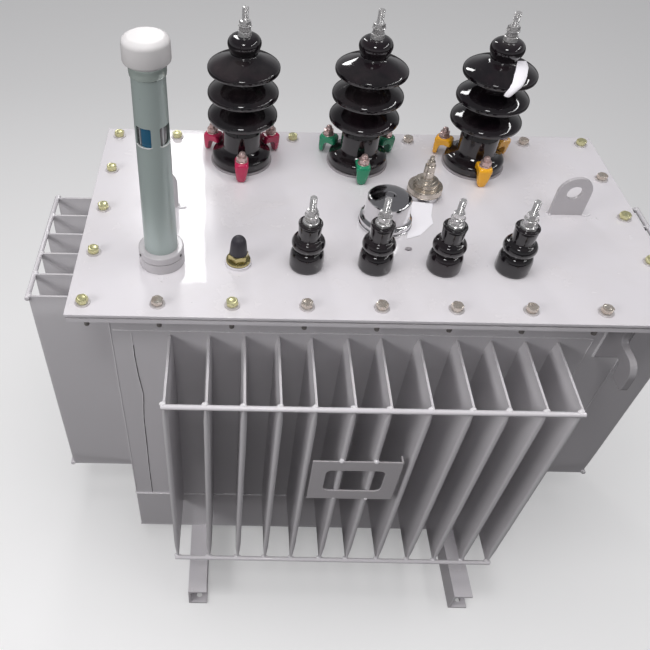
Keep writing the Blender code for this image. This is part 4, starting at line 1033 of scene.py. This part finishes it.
def makeHvBushings():
    profile = hvProfile()
    y, thick, edge = hvSet["y"], hvSet["gasket"], hvSet["gasketRadius"]
    head = coverTop + hvSet["top"]
    for number, x in enumerate(hvSet["places"], 1):
        turnedPiece(f"hvPorcelain{number}", profile, (x, y, coverTop), brownGlaze, f"hv_porcelain_{number}",
                    segments=96, sharp=50)
        turnedPiece(f"hvGasket{number}", [(0, thick), (edge - 0.0008, thick), (edge, thick - 0.001), (edge, seat),
                                          (0, seat)], (x, y, coverTop), greyGasket)
        work = bmesh.new()
        addTurned(work, [(0, 0.0085), (0.0112, 0.0085), (0.0122, 0.0078), (0.0125, 0.0008), (0.0121, 0.0001),
                         (0, 0.0001)], (x, y, head), 40)
        addHexagon(work, (x, y), 0.0185, head + 0.0087, head + 0.0172, 0.3 + number)
        addTurned(work, [(0, 0.0190), (0.0116, 0.0190), (0.0120, 0.0186), (0.0120, 0.0176), (0, 0.0174)],
                  (x, y, head), 32)
        addHexagon(work, (x, y), 0.0185, head + 0.0190, head + 0.0262, 0.8 + number)
        addThread(work, x, y, head + 0.0255, coverTop + hvSet["studTop"], 0.006)
        workPiece(f"hvStud{number}", work, zincSteel, f"hv_stud_{number}")


def clawWork(outline):
    # A casting in its own radial plane: foot on the cover, arch over the flange, toe on the porcelain's shoulder
    work = bmesh.new()
    rows = []
    for offset in clawSet["across"]:
        # The casting rounds off towards its two sides, and most of all at the foot
        outer = abs(offset) / clawSet["half"]
        shrink = 0.0030 * outer ** 5
        row = []
        for radius, height in outline:
            drawn = radius + (shrink if radius < clawSet["inner"] else 0)
            if radius > clawSet["outer"]:
                drawn = radius - shrink
            raised = height + 0.0042 * outer ** 3 * (1 - height / clawSet["shoulder"])
            if height > clawSet["shoulder"]:
                raised = height - shrink * 0.8
            narrow = 0.66 + 0.34 * min(max(height / clawSet["waist"], 0.0), 1.0) ** 0.7
            row.append(work.verts.new((drawn, offset * narrow, raised)))
        rows.append(row)
    for first, second in zip(rows, rows[1:]):
        for index in range(len(outline)):
            ahead = (index + 1) % len(outline)
            work.faces.new((first[index], first[ahead], second[ahead], second[index]))
    for row in (rows[0], rows[-1]):
        bmesh.ops.triangle_fill(work, edges=[work.edges.get((a, b)) for a, b in zip(row, row[1:] + row[:1])])
    return work


def makeClaws():
    outline = [(0.0806, 0.0), (0.0820, 0.0018), (0.0829, 0.0130), (0.0829, 0.0300)]
    outline += arcPoints((0.0767, 0.0336), 0.0062, 0, 88, 7)
    outline += flowLine([(0.0730, 0.0399), (0.0660, 0.0400), (0.0560, 0.0400), (0.0512, 0.0390)], 3)
    outline += [(0.0482, 0.0360), (0.0476, 0.0253), (0.0541, 0.0253)]
    outline += flowLine([(0.0601, 0.0262), (0.0652, 0.0258), (0.0696, 0.0218), (0.0716, 0.0150), (0.0742, 0.0)], 4)
    paints = (redEnamel, greenEnamel, yellowEnamel)
    reach, level = clawSet["nut"]
    spots = []
    for number, (x, paint) in enumerate(zip(hvSet["places"], paints), 1):
        for side, turn in clawTurns.items():
            angle = math.radians(turn)
            work = clawWork(outline)
            place = Matrix.Translation((x, hvSet["y"], coverTop + seat)) @ Matrix.Rotation(angle, 4, "Z")
            bmesh.ops.transform(work, matrix=place, verts=work.verts[:])
            workPiece(f"hvClaw{number}{side.capitalize()}", work, paint, f"hv_claw_{number}_{side}", sharp=40)
            spots.append((x + reach * math.cos(angle), hvSet["y"] + reach * math.sin(angle), coverTop + level))
    # Stud, washer and nut on each claw
    work = bmesh.new()
    addTurned(work, [(0, 0.0020), (0.0106, 0.0020), (0.0111, 0.0015), (0.0111, 0.0), (0, 0.0)], segments=32)
    addHexagon(work, (0, 0), 0.0180, 0.0020, 0.0110)
    addTurned(work, [(0, 0.0202), (0.0022, 0.0200), (0.0044, 0.0190), (0.0056, 0.0173), (0.0059, 0.0155),
                     (0.0058, 0.0105), (0, 0.0105)], segments=28)
    scatterPart(work, [("clawNuts", spots, rosyZinc, 4)], Tilt=0.05)


makeHvBushings()
makeClaws()
print("high-voltage bushings built")


# Low-voltage bushings
lvSet = {"places": (-0.1156, 0.0012, 0.118, 0.2348), "y": -0.143, "top": 0.0890, "studTop": 0.1400}


def makeLvBushings():
    profile = [(0, 0.0890), (0.0156, 0.0890), (0.0162, 0.0902), (0.0176, 0.0906), (0.0192, 0.0902), (0.0200, 0.0890),
               (0.0201, 0.0874), (0.0197, 0.0864), (0.0193, 0.0860), (0.0194, 0.0852)]
    profile += flowLine([(0.0195, 0.0848), (0.0190, 0.0740), (0.0184, 0.0650), (0.0186, 0.0616)], 3)
    profile += flowLine([(0.0206, 0.0600), (0.0246, 0.0578), (0.0273, 0.0532), (0.0281, 0.0484), (0.0270, 0.0434),
                         (0.0240, 0.0396), (0.0214, 0.0380), (0.0212, 0.0366), (0.0240, 0.0346), (0.0270, 0.0304),
                         (0.0286, 0.0240), (0.0291, 0.0150), (0.0291, 0.0050)], 4)
    profile += [(0.0288, 0.0012), (0.0278, seat), (0, seat)]
    y, head = lvSet["y"], coverTop + lvSet["top"]
    for number, x in enumerate(lvSet["places"], 1):
        turnedPiece(f"lvPorcelain{number}", profile, (x, y, coverTop), brownGlaze, f"lv_porcelain_{number}", sharp=50)
        work = bmesh.new()
        addTurned(work, [(0, 0.0058), (0.0127, 0.0058), (0.0136, 0.0050), (0.0138, 0.0010), (0.0134, 0.0002),
                         (0, 0.0002)], (x, y, head), 36)
        addHexagon(work, (x, y), 0.0175, head + 0.0060, head + 0.0152, 0.2 * number, 0.12)
        addTurned(work, [(0, 0.0176), (0.0112, 0.0176), (0.0118, 0.0170), (0.0118, 0.0158), (0, 0.0155)],
                  (x, y, head), 32)
        addHexagon(work, (x, y), 0.0170, head + 0.0178, head + 0.0268, 0.5 + 0.3 * number, 0.12)
        addThread(work, x, y, head + 0.0260, coverTop + lvSet["studTop"], 0.0058)
        workPiece(f"lvStud{number}", work, zincSteel, f"lv_stud_{number}")


makeLvBushings()
print("low-voltage bushings built")


# Oil gauge
gaugeSet = {"x": -0.3607, "y": -0.1385, "socket": 0.038, "socketHeight": 0.033, "joint": 0.0185, "foot": 0.0276,
            "head": 0.0243, "tube": 0.302, "wall": 0.0028, "window": (0.0250, 0.031), "windowCorner": 0.0025,
            "windowMiddle": 0.216, "windowTurn": 62.0, "glassGap": 0.0033, "glassThick": 0.003, "glassReach": 0.038,
            "litEdgeSpread": 31, "screws": (-150, -28), "screwHeight": 0.026, "collar": 0.0262, "collarHeight": 0.017,
            "gap": 0.0003}
# Where each colour behind the glass stands round the tube; the pale grey at 0.612 and the near-white at 0.895 are
# painted highlights
glassBrown, glassBlue = (96, 92, 94), (28, 92, 124)
glassBandsAndPaintedHighlights = ((0.0, glassBrown), (0.585, glassBrown), (0.612, (176, 180, 184)), (0.622, glassBrown),
              (0.640, glassBlue), (0.770, glassBlue), (0.778, glassBrown), (0.875, glassBrown),
              (0.895, (216, 218, 220)), (0.915, glassBrown))


def makeGaugeSocket(x, y):
    joint, radius = gaugeSet["joint"], gaugeSet["socket"]
    profile = [(0, 0.033), (0.0292, 0.033), (0.0298, 0.0326), (radius - 0.0024, 0.0326)]
    profile += arcPoints((radius - 0.0022, 0.0304), 0.0022, 90, 0, 5)
    profile += [(radius, joint + 0.0014), (radius - 0.0008, joint + 0.0009), (radius - 0.0022, joint + 0.0008),
                (radius - 0.0022, joint), (radius - 0.0006, joint - 0.0002), (radius + 0.0002, joint - 0.0012),
                (radius + 0.0002, 0.0006), (radius - 0.0004, seat), (0, seat)]
    turnedPiece("gaugeSocket", profile, (x, y, coverTop), shadedFittingEnamel, "gauge_socket", segments=96)
    # Seal in the joint and two set-screws
    work = bmesh.new()
    addTurned(work, [(0, joint + 0.0009), (radius - 0.0010, joint + 0.0009), (radius - 0.0010, joint - 0.0001),
                     (0, joint - 0.0001)], (x, y, coverTop), 96)
    for angle in gaugeSet["screws"]:
        screw = bmesh.new()
        addTurned(screw, [(0, 0.0012), (0.0021, 0.0012), (0.0026, 0.0006), (0.0026, -0.002), (0, -0.002)], segments=20)
        direction = Vector((math.cos(math.radians(angle)), math.sin(math.radians(angle)), 0))
        turn = Vector((0, 0, 1)).rotation_difference(direction).to_matrix().to_4x4()
        spot = Vector((x, y, coverTop + gaugeSet["screwHeight"])) + direction * (radius - 0.0002)
        mergeWork(work, screw, Matrix.Translation(spot) @ turn)
    workPiece("gaugeSeal", work, gasketRubber)


def makeGaugeTube(x, y, base):
    # Tapered tube with four sight windows, each with a white bead along its lower edge as a painted highlight of the
    # lit cut edge, and the glass behind them
    foot, head, wall, height = (gaugeSet[key] for key in ("foot", "head", "wall", "tube"))
    middle = gaugeSet["windowMiddle"]
    tube = turnedPiece("gaugeTube", [(head, height), (foot, 0.0), (foot - wall, 0.0), (head - wall, height),
                                     (head, height)], (x, y, base), tubeEnamel, "gauge_tube", segments=96)
    corners = roundedWindow(*gaugeSet["window"], gaugeSet["windowCorner"], 4)
    for index in range(2):
        turn = Matrix.Rotation(math.radians(gaugeSet["windowTurn"] + 90 * index + 90), 4, "Z")
        cutWith(tube, plateWork(corners, 0.08, Matrix.Translation((x, y, base + middle)) @ turn @ standUp))
    # White beads along the windows' lower edges: painted highlight where light from above catches the cut edge
    litEdgeBeads = []
    level = middle - gaugeSet["window"][1] / 2 - 0.0002
    reach = foot + (head - foot) * level / height + 0.0001
    for index in range(4):
        facing = math.radians(gaugeSet["windowTurn"] + 90 * index)
        litEdgeBead = []
        for share in (step / 8 for step in range(-8, 9)):
            angle = facing + math.radians(gaugeSet["litEdgeSpread"]) * share
            litEdgeBead.append((x + reach * math.cos(angle), y + reach * math.sin(angle),
                         base + level + 0.0022 * abs(share) ** 6))
        litEdgeBeads.append(litEdgeBead)
    beadPiece("gaugeSills", litEdgeBeads, 0.0007, whitePlastic, Step=0.001, Lumps=0.05)
    glass, thick = foot - wall - gaugeSet["glassGap"], gaugeSet["glassThick"]
    low, high = middle - gaugeSet["glassReach"], middle + gaugeSet["glassReach"]
    turnedPiece("gaugeGlass", [(glass, high), (glass, low), (glass - thick, low), (glass - thick, high), (glass, high)],
                (x, y, base), makeGaugeGlass((x, y), glassBandsAndPaintedHighlights), "gauge_glass")


def makeGaugeTop(x, y, base):
    collar = gaugeSet["collar"]
    turnedPiece("gaugeCollar", [
        (0, 0.017), (collar, 0.017), (collar + 0.0004, 0.0164), (collar, 0.0040), (collar - 0.0004, 0.0008),
        (collar - 0.0012, 0.0002), (0, 0.0002)], (x, y, base), collarMetal, "gauge_collar", segments=96, sharp=40)
    turnedPiece("gaugeCap", [(0, 0.0360), (0.0120, 0.0360), (0.0225, 0.0357)]
                + arcPoints((0.0238, 0.0267), 0.0090, 88, 4, 12)
                + [(0.0332, 0.0180), (0.0334, 0.0050), (0.0328, 0.0028), (0.0300, 0.0006), (0.0292, 0.0), (0, 0.0)],
                (x, y, base + gaugeSet["collarHeight"] + gaugeSet["gap"]), whitePlastic, "gauge_cap", segments=96,
                sharp=60)


tubeBase = coverTop + gaugeSet["socketHeight"] + gaugeSet["gap"]
makeGaugeSocket(gaugeSet["x"], gaugeSet["y"])
makeGaugeTube(gaugeSet["x"], gaugeSet["y"], tubeBase)
makeGaugeTop(gaugeSet["x"], gaugeSet["y"], tubeBase + gaugeSet["tube"] + gaugeSet["gap"])
print("gauge built")


# Pocket, cup and relief valve
pocketSet = {"x": -0.231, "y": -0.143, "flats": 0.0300}
cupSet = {"x": 0.0345, "y": -0.0255}
reliefSet = {"x": 0.1185, "y": 0.0567, "flats": 0.0135}


def makePocket():
    x, y = pocketSet["x"], pocketSet["y"]
    place = (x, y, coverTop)
    turnedPiece("pocketBoss", [(0, 0.0052), (0.0219, 0.0052), (0.0225, 0.0046), (0.0226, 0.0010), (0.0232, seat),
                               (0, seat)], place, greyEnamel, segments=64)
    turnedPiece("pocketSeal", [(0, 0.0064), (0.0203, 0.0064), (0.0203, 0.0050), (0, 0.0050)], place, gasketRubber,
                segments=64)
    work = bmesh.new()
    addTurned(work, [(0, 0.0110), (0.0190, 0.0108), (0.0203, 0.0100), (0.0208, 0.0088), (0.0208, 0.0068),
                     (0.0203, 0.0062), (0, 0.0062)], place, 64)
    addHexagon(work, (x, y), pocketSet["flats"], coverTop + 0.0108, coverTop + 0.0233, 0.26, 0.06)
    addTurned(work, [(0, 0.0262), (0.0122, 0.0262), (0.0126, 0.0258), (0.0126, 0.0230), (0, 0.0230)], place, 40)
    workPiece("pocketPlug", work, yellowBrass, "pocket_plug")
    base, top = (corner.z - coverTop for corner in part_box("pocket_cap"))
    profile = flowLine([(0, top), (0.0052, top - 0.0007), (0.0094, top - 0.0035), (0.0122, top - 0.0085),
                        (0.0133, top - 0.0140), (0.0140, base + 0.0120), (0.0147, base + 0.0030)], 5)
    profile += [(0.0150, base + 0.0022), (0.0151, base + 0.0004), (0.0146, base + 0.0001), (0, base + 0.0001)]
    turnedPiece("pocketCap", profile, place, blackRubber, "pocket_cap", segments=64, sharp=50)


def makeCup():
    # Spun cup: stamped ring in its top, rolled shoulder, flared foot
    profile = flowLine([
        (0, 0.0597), (0.0055, 0.0597), (0.0072, 0.0600), (0.0082, 0.0604), (0.0094, 0.0604), (0.0104, 0.0600),
        (0.0124, 0.0597), (0.0180, 0.0596), (0.0260, 0.0592), (0.0320, 0.0586), (0.0354, 0.0578), (0.0380, 0.0562),
        (0.0392, 0.0545), (0.0396, 0.0525)], 3)
    profile += flowLine([
        (0.0397, 0.0510), (0.0401, 0.0350), (0.0407, 0.0230), (0.0414, 0.0190), (0.0436, 0.0168), (0.0462, 0.0152),
        (0.0472, 0.0136), (0.0471, 0.0096), (0.0463, 0.0080), (0.0467, 0.0066), (0.0480, 0.0056), (0.0482, 0.0040)], 4)
    profile += [(0.0480, 0.0006), (0.0474, seat), (0, seat)]
    turnedPiece("tapChangerCup", profile, (cupSet["x"], cupSet["y"], coverTop), brightChrome, "tap_changer_cup",
                segments=96, sharp=50)


def makeReliefValve():
    x, y = reliefSet["x"], reliefSet["y"]
    place = (x, y, coverTop)
    turnedPiece("reliefFoot", [(0, 0.0130), (0.0268, 0.0130), (0.0278, 0.0122), (0.0278, 0.0010), (0.0270, seat),
                               (0, seat)], place, brightChrome)
    disc = [(0, 0.0262), (0.0298, 0.0262)] + arcPoints((0.0303, 0.0242), 0.0020, 90, 0, 4)
    disc += [(0.0323, 0.0168), (0.0316, 0.0158), (0.0316, 0.0146), (0.0323, 0.0138), (0.0318, 0.0127), (0, 0.0125)]
    step = [(0, 0.0395), (0.0146, 0.0393), (0.0166, 0.0384), (0.0172, 0.0376), (0.0206, 0.0374), (0.0220, 0.0368),
            (0.0228, 0.0354), (0.0226, 0.0336), (0.0219, 0.0328), (0.0219, 0.0320), (0.0229, 0.0312),
            (0.0231, 0.0292), (0.0224, 0.0280), (0.0226, 0.0266), (0.0238, 0.0256), (0, 0.0255)]
    # Slotted stem under its nut and threaded pin
    stem = [(0, 0.0704), (0.0084, 0.0704), (0.0096, 0.0692), (0.0098, 0.0600), (0.0090, 0.0592), (0.0090, 0.0572),
            (0.0098, 0.0564), (0.0098, 0.0428), (0.0112, 0.0412), (0.0118, 0.0390), (0, 0.0388)]
    work = bmesh.new()
    for profile, segments in ((disc, 96), (step, 84), (stem, 48)):
        addTurned(work, profile, place, segments)
    addHexagon(work, (x, y), reliefSet["flats"], coverTop + 0.0706, coverTop + 0.0778, 0.4)
    addThread(work, x, y, coverTop + 0.0770, coverTop + 0.0876, 0.0042, 0.0014, 0.0006)
    workPiece("reliefValve", work, nickelPlate, "relief_valve")


makePocket()
makeCup()
makeReliefValve()
print("pocket, cup and relief valve built")


# Paper left on it: a blank tag on the cover, and a torn strip that clings to the right-hand bushing's top shed
paperSet = {
    "tag": ((0.0917, 0.026, 0.0095), (0.131, 0.026, 0.0055), (0.1222, -0.0074, 0.0030), (0.1221, -0.0275, 0.0012),
            (0.0934, -0.0617, 0.0008), (0.0671, -0.0722, 0.0008), (0.0785, -0.0309, 0.0010)),
    "stripLeft": ((0.0170, -0.0195, 0.2240), (0.0169, -0.0192, 0.2192), (0.0130, -0.0330, 0.2142),
                  (0.0081, -0.0444, 0.2098), (0.0055, -0.0530, 0.2060), (0.0025, -0.0605, 0.2022),
                  (-0.0030, -0.0650, 0.1962), (-0.0079, -0.0668, 0.1830)),
    "stripRight": ((0.0400, 0.0010, 0.2150), (0.0430, -0.0030, 0.2110), (0.0400, -0.0180, 0.2104),
                   (0.0379, -0.0245, 0.2098), (0.0330, -0.0400, 0.2068), (0.0270, -0.0545, 0.2024),
                   (0.0200, -0.0630, 0.1966), (0.0061, -0.0671, 0.1848)),
    "slug": (0.066, -0.0998, 0.0018)}


def makePapers():
    work = bmesh.new()
    work.faces.new([work.verts.new((x, y, coverTop + z)) for x, y, z in paperSet["tag"]])
    bmesh.ops.triangulate(work, faces=work.faces[:])
    thicken(work, (0, 0, 0.0003))
    workPiece("paperTag", work, whitePaper)
    work = bmesh.new()
    x, y = hvSet["places"][2], hvSet["y"]
    rows = []
    for left, right in zip(paperSet["stripLeft"], paperSet["stripRight"]):
        row = []
        for step in range(5):
            spot = Vector(left).lerp(Vector(right), step / 4)
            # Bulged outwards like the porcelain under it
            spread = 1 + 0.10 * math.sin(math.pi * step / 4)
            row.append(work.verts.new((x + spot.x * spread, y + spot.y * spread, coverTop + spot.z + 0.0004)))
        rows.append(row)
    for upper, lower in zip(rows, rows[1:]):
        for step in range(4):
            work.faces.new((upper[step], upper[step + 1], lower[step + 1], lower[step]))
    thicken(work, (0.0001, -0.0002, 0.0003))
    workPiece("paperStrip", work, whitePaper, sharp=60)
    # A loose slug of dried compound beside the tag
    work = bmesh.new()
    x, y, height = paperSet["slug"]
    addBall(work, (x, y, coverTop + height), 0.0052, (1.25, 0.8, 0.45))
    workPiece("looseSlug", work, greyGasket)


makePapers()
print("papers laid")


# Welds and spatter. The wandering seam beside a corner: how far out from the middle, and how high
edgeSeam = ((0.4127, 0.7600), (0.4129, 0.7288), (0.4131, 0.6991), (0.4108, 0.6448), (0.4058, 0.5864), (0.4094, 0.5373),
            (0.4112, 0.5053), (0.4123, 0.4119), (0.4140, 0.3173), (0.4141, 0.2200))
otherSeam = ((0.3860, 0.760), (0.3856, 0.660), (0.3866, 0.560), (0.3862, 0.400), (0.3858, 0.226))
weldSet = {"seamLow": 0.7665, "seamHigh": 0.7675, "rim": 0.8395, "cornerLow": 0.080, "cornerHigh": 0.838}
blobSet = {"bar": 0.0040, "bracket": 0.0052, "bracketX": (-0.0409, 0.0202), "bracketY": -0.3640}


def weldPiece(name, lines, radius, ripple=0.004, lumps=0.35):
    beadPiece(name, lines, radius, weldEnamel, **{
        "Step": 0.0012, "Ripple": ripple, "Lumps": lumps, "Lump Size": 55.0})


def wobbleLine(start, end, steps, wobble, seed, across=(0, 0, 1)):
    # A hand-laid line that strays a little from its straight course
    generator = random.Random(seed)
    line = []
    drift = 0.0
    for step in range(steps + 1):
        drift += generator.uniform(-wobble, wobble) - drift * 0.15
        line.append(Vector(start).lerp(Vector(end), step / steps) + Vector(across) * drift)
    return line


def makeWelds():
    face, side = longSide["face"], shortSide["face"]
    # Between the panels and the frame above the fins
    low, high = weldSet["seamLow"], weldSet["seamHigh"]
    courses = ((-0.445, -face, 0.385, -face, 90, 2), (-0.385, face, 0.445, face, 90, 3),
               (-side, -0.205, -side, 0.205, 60, 4), (side, -0.205, side, 0.205, 60, 5))
    weldPiece("panelSeams", [wobbleLine((x, y, low), (endX, endY, high), steps, 0.0005, seed)
                             for x, y, endX, endY, steps, seed in courses], 0.0013, 0.011, 0.9)
    # Vertical seams beside the corners, and a dark bead along one of them: painted shade in that seam's crease
    upright = []
    for sign in (-1, 1):
        upright.append([(sign * (x + 0.0012), sign * face, z) for x, z in edgeSeam])
        upright.append([(sign * -x, sign * face, z) for x, z in otherSeam])
    weldPiece("panelEdgeSeams", upright, 0.0010, 0.006, 0.5)
    # Dark rubber-coloured bead along the seam: painted shade in its crease
    beadPiece("panelCracks", [[(sign * x, sign * (face + 0.0002), z) for x, z in edgeSeam[1:]] for sign in (-1, 1)],
              0.0007, gasketRubber, Step=0.002, Lumps=0.8)
    # Under the rim, above the base band, and up the tank's corners
    level, proud = weldSet["rim"], 0.001
    weldPiece("rimWeld", [[(-side, -face - proud, level), (side, -face - proud, level)],
                          [(side, face + proud, level), (-side, face + proud, level)],
                          [(-side - proud, face, level), (-side - proud, -face, level)],
                          [(side + proud, -face, level), (side + proud, face, level)]], 0.0026)
    band, out = wallSet["bandTop"], 0.0012
    courses = ((-side - proud, -face - out, side + proud, -face - out, 80, 6),
               (side + proud, face + out, -side - proud, face + out, 80, 7),
               (-side - out, face, -side - out, -face, 40, 8), (side + out, -face, side + out, face, 40, 9))
    weldPiece("baseBandWeld", [wobbleLine((x, y, band), (endX, endY, band), steps, 0.0003, seed)
                               for x, y, endX, endY, steps, seed in courses], 0.0026, 0.005, 0.3)
    weldPiece("cornerSeams", [[(signX * side, signY * face, weldSet["cornerLow"]),
                               (signX * side, signY * face, weldSet["cornerHigh"])]
                              for signX in (-1, 1) for signY in (-1, 1)], 0.0012, 0.007, 0.2)
    # Lug feet on the cover: a full bead behind, one curling off the right foot, two tacks at the left foot
    feet = []
    back = lugSet["thick"] / 2
    tacks = (((0.0300, -0.0030, 0.0012), (0.0345, -0.0050, 0.0006), (0.0400, -0.0046, 0.0004),
              (0.0450, -0.0020, 0.0003)),
             ((-0.0310, -0.0042, 0.0008), (-0.0285, -0.0046, 0.0008)),
             ((-0.0325, 0.0010, 0.0010), (-0.0322, 0.0035, 0.0010)))
    for sign in (-1, 1):
        foot = Vector((sign * lugSet["x"], lugSet["y"], coverTop))
        ends = [foot + Vector((x, back, 0.001)) for x in (-0.033, 0.033)]
        feet.append(wobbleLine(*ends, 16, 0.0005, 21, (0, 1, 0)))
        feet += [[foot + Vector(spot) for spot in tack] for tack in tacks]
    weldPiece("lugWelds", feet, 0.0023, 0.004, 0.45)
    # Hook roots on the wall
    roots = []
    for sign in (1, -1):
        for edge in (-1, 1):
            x = -sign * hookSet["x"] + edge * hookSet["thick"] / 2
            roots.append(wobbleLine((x, sign * face, 0.830), (x, sign * face, 0.722), 24, 0.0004, 30 + edge,
                                    (1, 0, 0)))
    weldPiece("hookWelds", roots, 0.0028, 0.004, 0.4)


def makeBlobs():
    # A blob on each side of every fin tip, where the bar lies on it
    work = bmesh.new()
    addBall(work, (0, 0, 0), blobSet["bar"], (1.25, 1.0, 0.95))
    spots = []
    for name, node, side, turn, shift, strays, drop in walls:
        turning = Matrix.Rotation(turn, 4, "Z")
        tip = side["face"] + side["depth"]
        for x in finPlaces(side, shift, strays):
            for level, thirdToo in ((barSet["low"], True), (barSet["high"] - drop, False)):
                spots.append(turning @ Vector((x + 0.0036, tip - 0.0022, level + 0.0020)))
                spots.append(turning @ Vector((x + 0.0010, tip - 0.0026, level + 0.0030)))
                if thirdToo:
                    spots.append(turning @ Vector((x - 0.0034, tip - 0.0012, level)))
    scatterPart(work, [("barWelds", spots, weldEnamel, 11)], Tilt=0.5, Smallest=0.85, Largest=1.2)
    # Blobs that hold the bracket
    work = bmesh.new()
    addBall(work, (0, 0, 0), blobSet["bracket"], (1.0, 0.9, 0.9))
    top = bracketSet["z"] + bracketSet["height"] / 2
    spots = [(x, blobSet["bracketY"], z) for x in blobSet["bracketX"]
             for z in (top - 0.0005, top - bracketSet["height"] + 0.0005)]
    scatterPart(work, [("bracketWelds", spots, weldEnamel, 5)], Tilt=0.4, Smallest=0.85, Largest=1.1)


def makeSpatter():
    # Patches where drops stuck: two above the front fins, then on the cover round the gauge, the pocket and the lugs
    corners = []
    face = -longSide["face"]
    for left, right, low, high in ((-0.432, -0.350, 0.769, 0.781), (-0.30, 0.30, 0.768, 0.772)):
        corners += [(left, face, low), (right, face, low), (right, face, high), (left, face, high)]
    for left, right, front, back in ((-0.376, -0.346, -0.194, -0.178), (-0.256, -0.226, -0.181, -0.168),
                                     (0.330, 0.430, -0.010, 0.002), (-0.345, -0.322, -0.02, 0.02)):
        corners += [(left, front, coverTop), (right, front, coverTop), (right, back, coverTop), (left, back, coverTop)]
    base = bpy.data.meshes.new("patches")
    base.from_pydata(corners, [], [tuple(range(start, start + 4)) for start in range(0, len(corners), 4)])
    mesh = runTree(spatterTree, base, {"Density": 26000.0, "Smallest": 0.0003, "Largest": 0.0011, "Seed": 4,
                                       "Material": weldEnamel})
    finishPiece("weldSpatter", mesh, weldEnamel)


makeWelds()
makeBlobs()
makeSpatter()
print("welds and spatter built")


# Floor, light and camera
def makeFloor():
    mesh = bpy.data.meshes.new("floor")
    mesh.from_pydata([(-12, -12, 0), (12, -12, 0), (12, 12, 0), (-12, 12, 0)], [], [(0, 1, 2, 3)])
    floor = linkObject("floor", mesh)
    material, tree, shader, place = startMaterial("pale floor", (0.8, 0.8, 0.8, 1))
    # Pale to the camera; what it throws back on the tank is dimmer
    seen = tree.nodes.new("ShaderNodeLightPath").outputs
    shown = calc(tree, "MAXIMUM", Flow(seen["Is Camera Ray"]), Flow(seen["Is Transmission Ray"]))
    feedAll(shader, {"Base Color": blendColor(shown, screenColor(112, 110, 110), screenColor(222, 221, 221)),
                     "Emission Color": blendColor(shown, (0, 0, 0, 1), (0.24, 0.24, 0.24, 1)),
                     "Emission Strength": 1.0, "Roughness": 0.7})
    mesh.materials.append(material)


def makeWorld():
    world = bpy.data.worlds.new("studio")
    bpy.context.scene.world = world
    world.use_nodes = True
    tree = world.node_tree
    direction = splitVector(flowFrom(tree, "ShaderNodeTexCoord", output="Generated"))[2]
    # Lit walls near the horizon, dim overhead, as in a hall; pale where the camera looks past the floor
    height = rescale(direction, 0.05, 0.6, smooth=True)
    hall = blendColor(height, (0.36, 0.36, 0.37, 1), (0.15, 0.15, 0.16, 1))
    seen = flowFrom(tree, "ShaderNodeLightPath", output="Is Camera Ray")
    feedAll(tree.nodes["Background"], {"Color": blendColor(seen, hall, (0.74, 0.74, 0.74, 1)), "Strength": 1.0})


# The wide ceiling and side lights fill. The spot and the strip are what glaze and plating mirror, and the window shows
# in the cover
lampSet = (
    {"name": "ceilingLight", "place": (-0.15, -0.20, 3.3), "aim": (-0.1, -0.05, 0.8), "size": (1.9, 1.1), "power": 36,
     "mirrored": False},
    {"name": "sideLight", "place": (-2.4, -1.6, 2.1), "aim": (0.1, -0.3, 0.6), "size": (1.4, 0.9), "power": 31,
     "mirrored": False},
    {"name": "spotLight", "place": (-0.45, -1.5, 3.2), "aim": (0.0, -0.1, 0.8), "size": (0.56, 0.5), "power": 13,
     "mirrored": True},
    {"name": "rightStrip", "place": (2.1, -0.2, 2.7), "aim": (0.2, 0.0, 0.9), "size": (3.0, 0.09), "power": 11,
     "mirrored": True},
    {"name": "windowLight", "place": (-0.55, 2.05, 2.48), "aim": (-0.55, 0.0, 2.48), "size": (0.314, 1.03), "power": 10,
     "mirrored": True})


def makeLamps():
    for lamp in lampSet:
        light = bpy.data.lights.new(lamp["name"], "AREA")
        light.shape = "RECTANGLE"
        light.size, light.size_y = lamp["size"]
        light.energy = lamp["power"]
        holder = linkObject(lamp["name"], light)
        holder.location = lamp["place"]
        holder.visible_glossy = lamp["mirrored"]
        holder.rotation_euler = (Vector(lamp["aim"]) - Vector(lamp["place"])).to_track_quat("-Z", "Y").to_euler()


# Angles in degrees, as fitted to the photo
cameraSet = {"place": (-0.2424, -1.0329, 1.6556), "down": 46.92, "yaw": 0.10, "roll": -1.16, "lens": 38.66,
             "shift": 0.1444}


def makeCamera():
    camera = bpy.data.cameras.new("camera")
    camera.sensor_width = 36
    camera.lens = cameraSet["lens"]
    camera.shift_x = cameraSet["shift"]
    camera.clip_start = 0.05
    down, yaw, roll = (math.radians(cameraSet[key]) for key in ("down", "yaw", "roll"))
    ahead = Vector((math.sin(yaw) * math.cos(down), math.cos(yaw) * math.cos(down), -math.sin(down)))
    level = Vector((math.cos(yaw), -math.sin(yaw), 0))
    below = ahead.cross(level)
    right = math.cos(roll) * level + math.sin(roll) * below
    lower = -math.sin(roll) * level + math.cos(roll) * below
    holder = linkObject("camera", camera)
    turning = Matrix((right, -lower, -ahead)).transposed().to_4x4()
    holder.matrix_world = Matrix.Translation(cameraSet["place"]) @ turning
    bpy.context.scene.camera = holder


makeFloor()
makeWorld()
makeLamps()
makeCamera()
bpy.context.scene.view_settings.view_transform = "Standard"
print("floor, light and camera set")
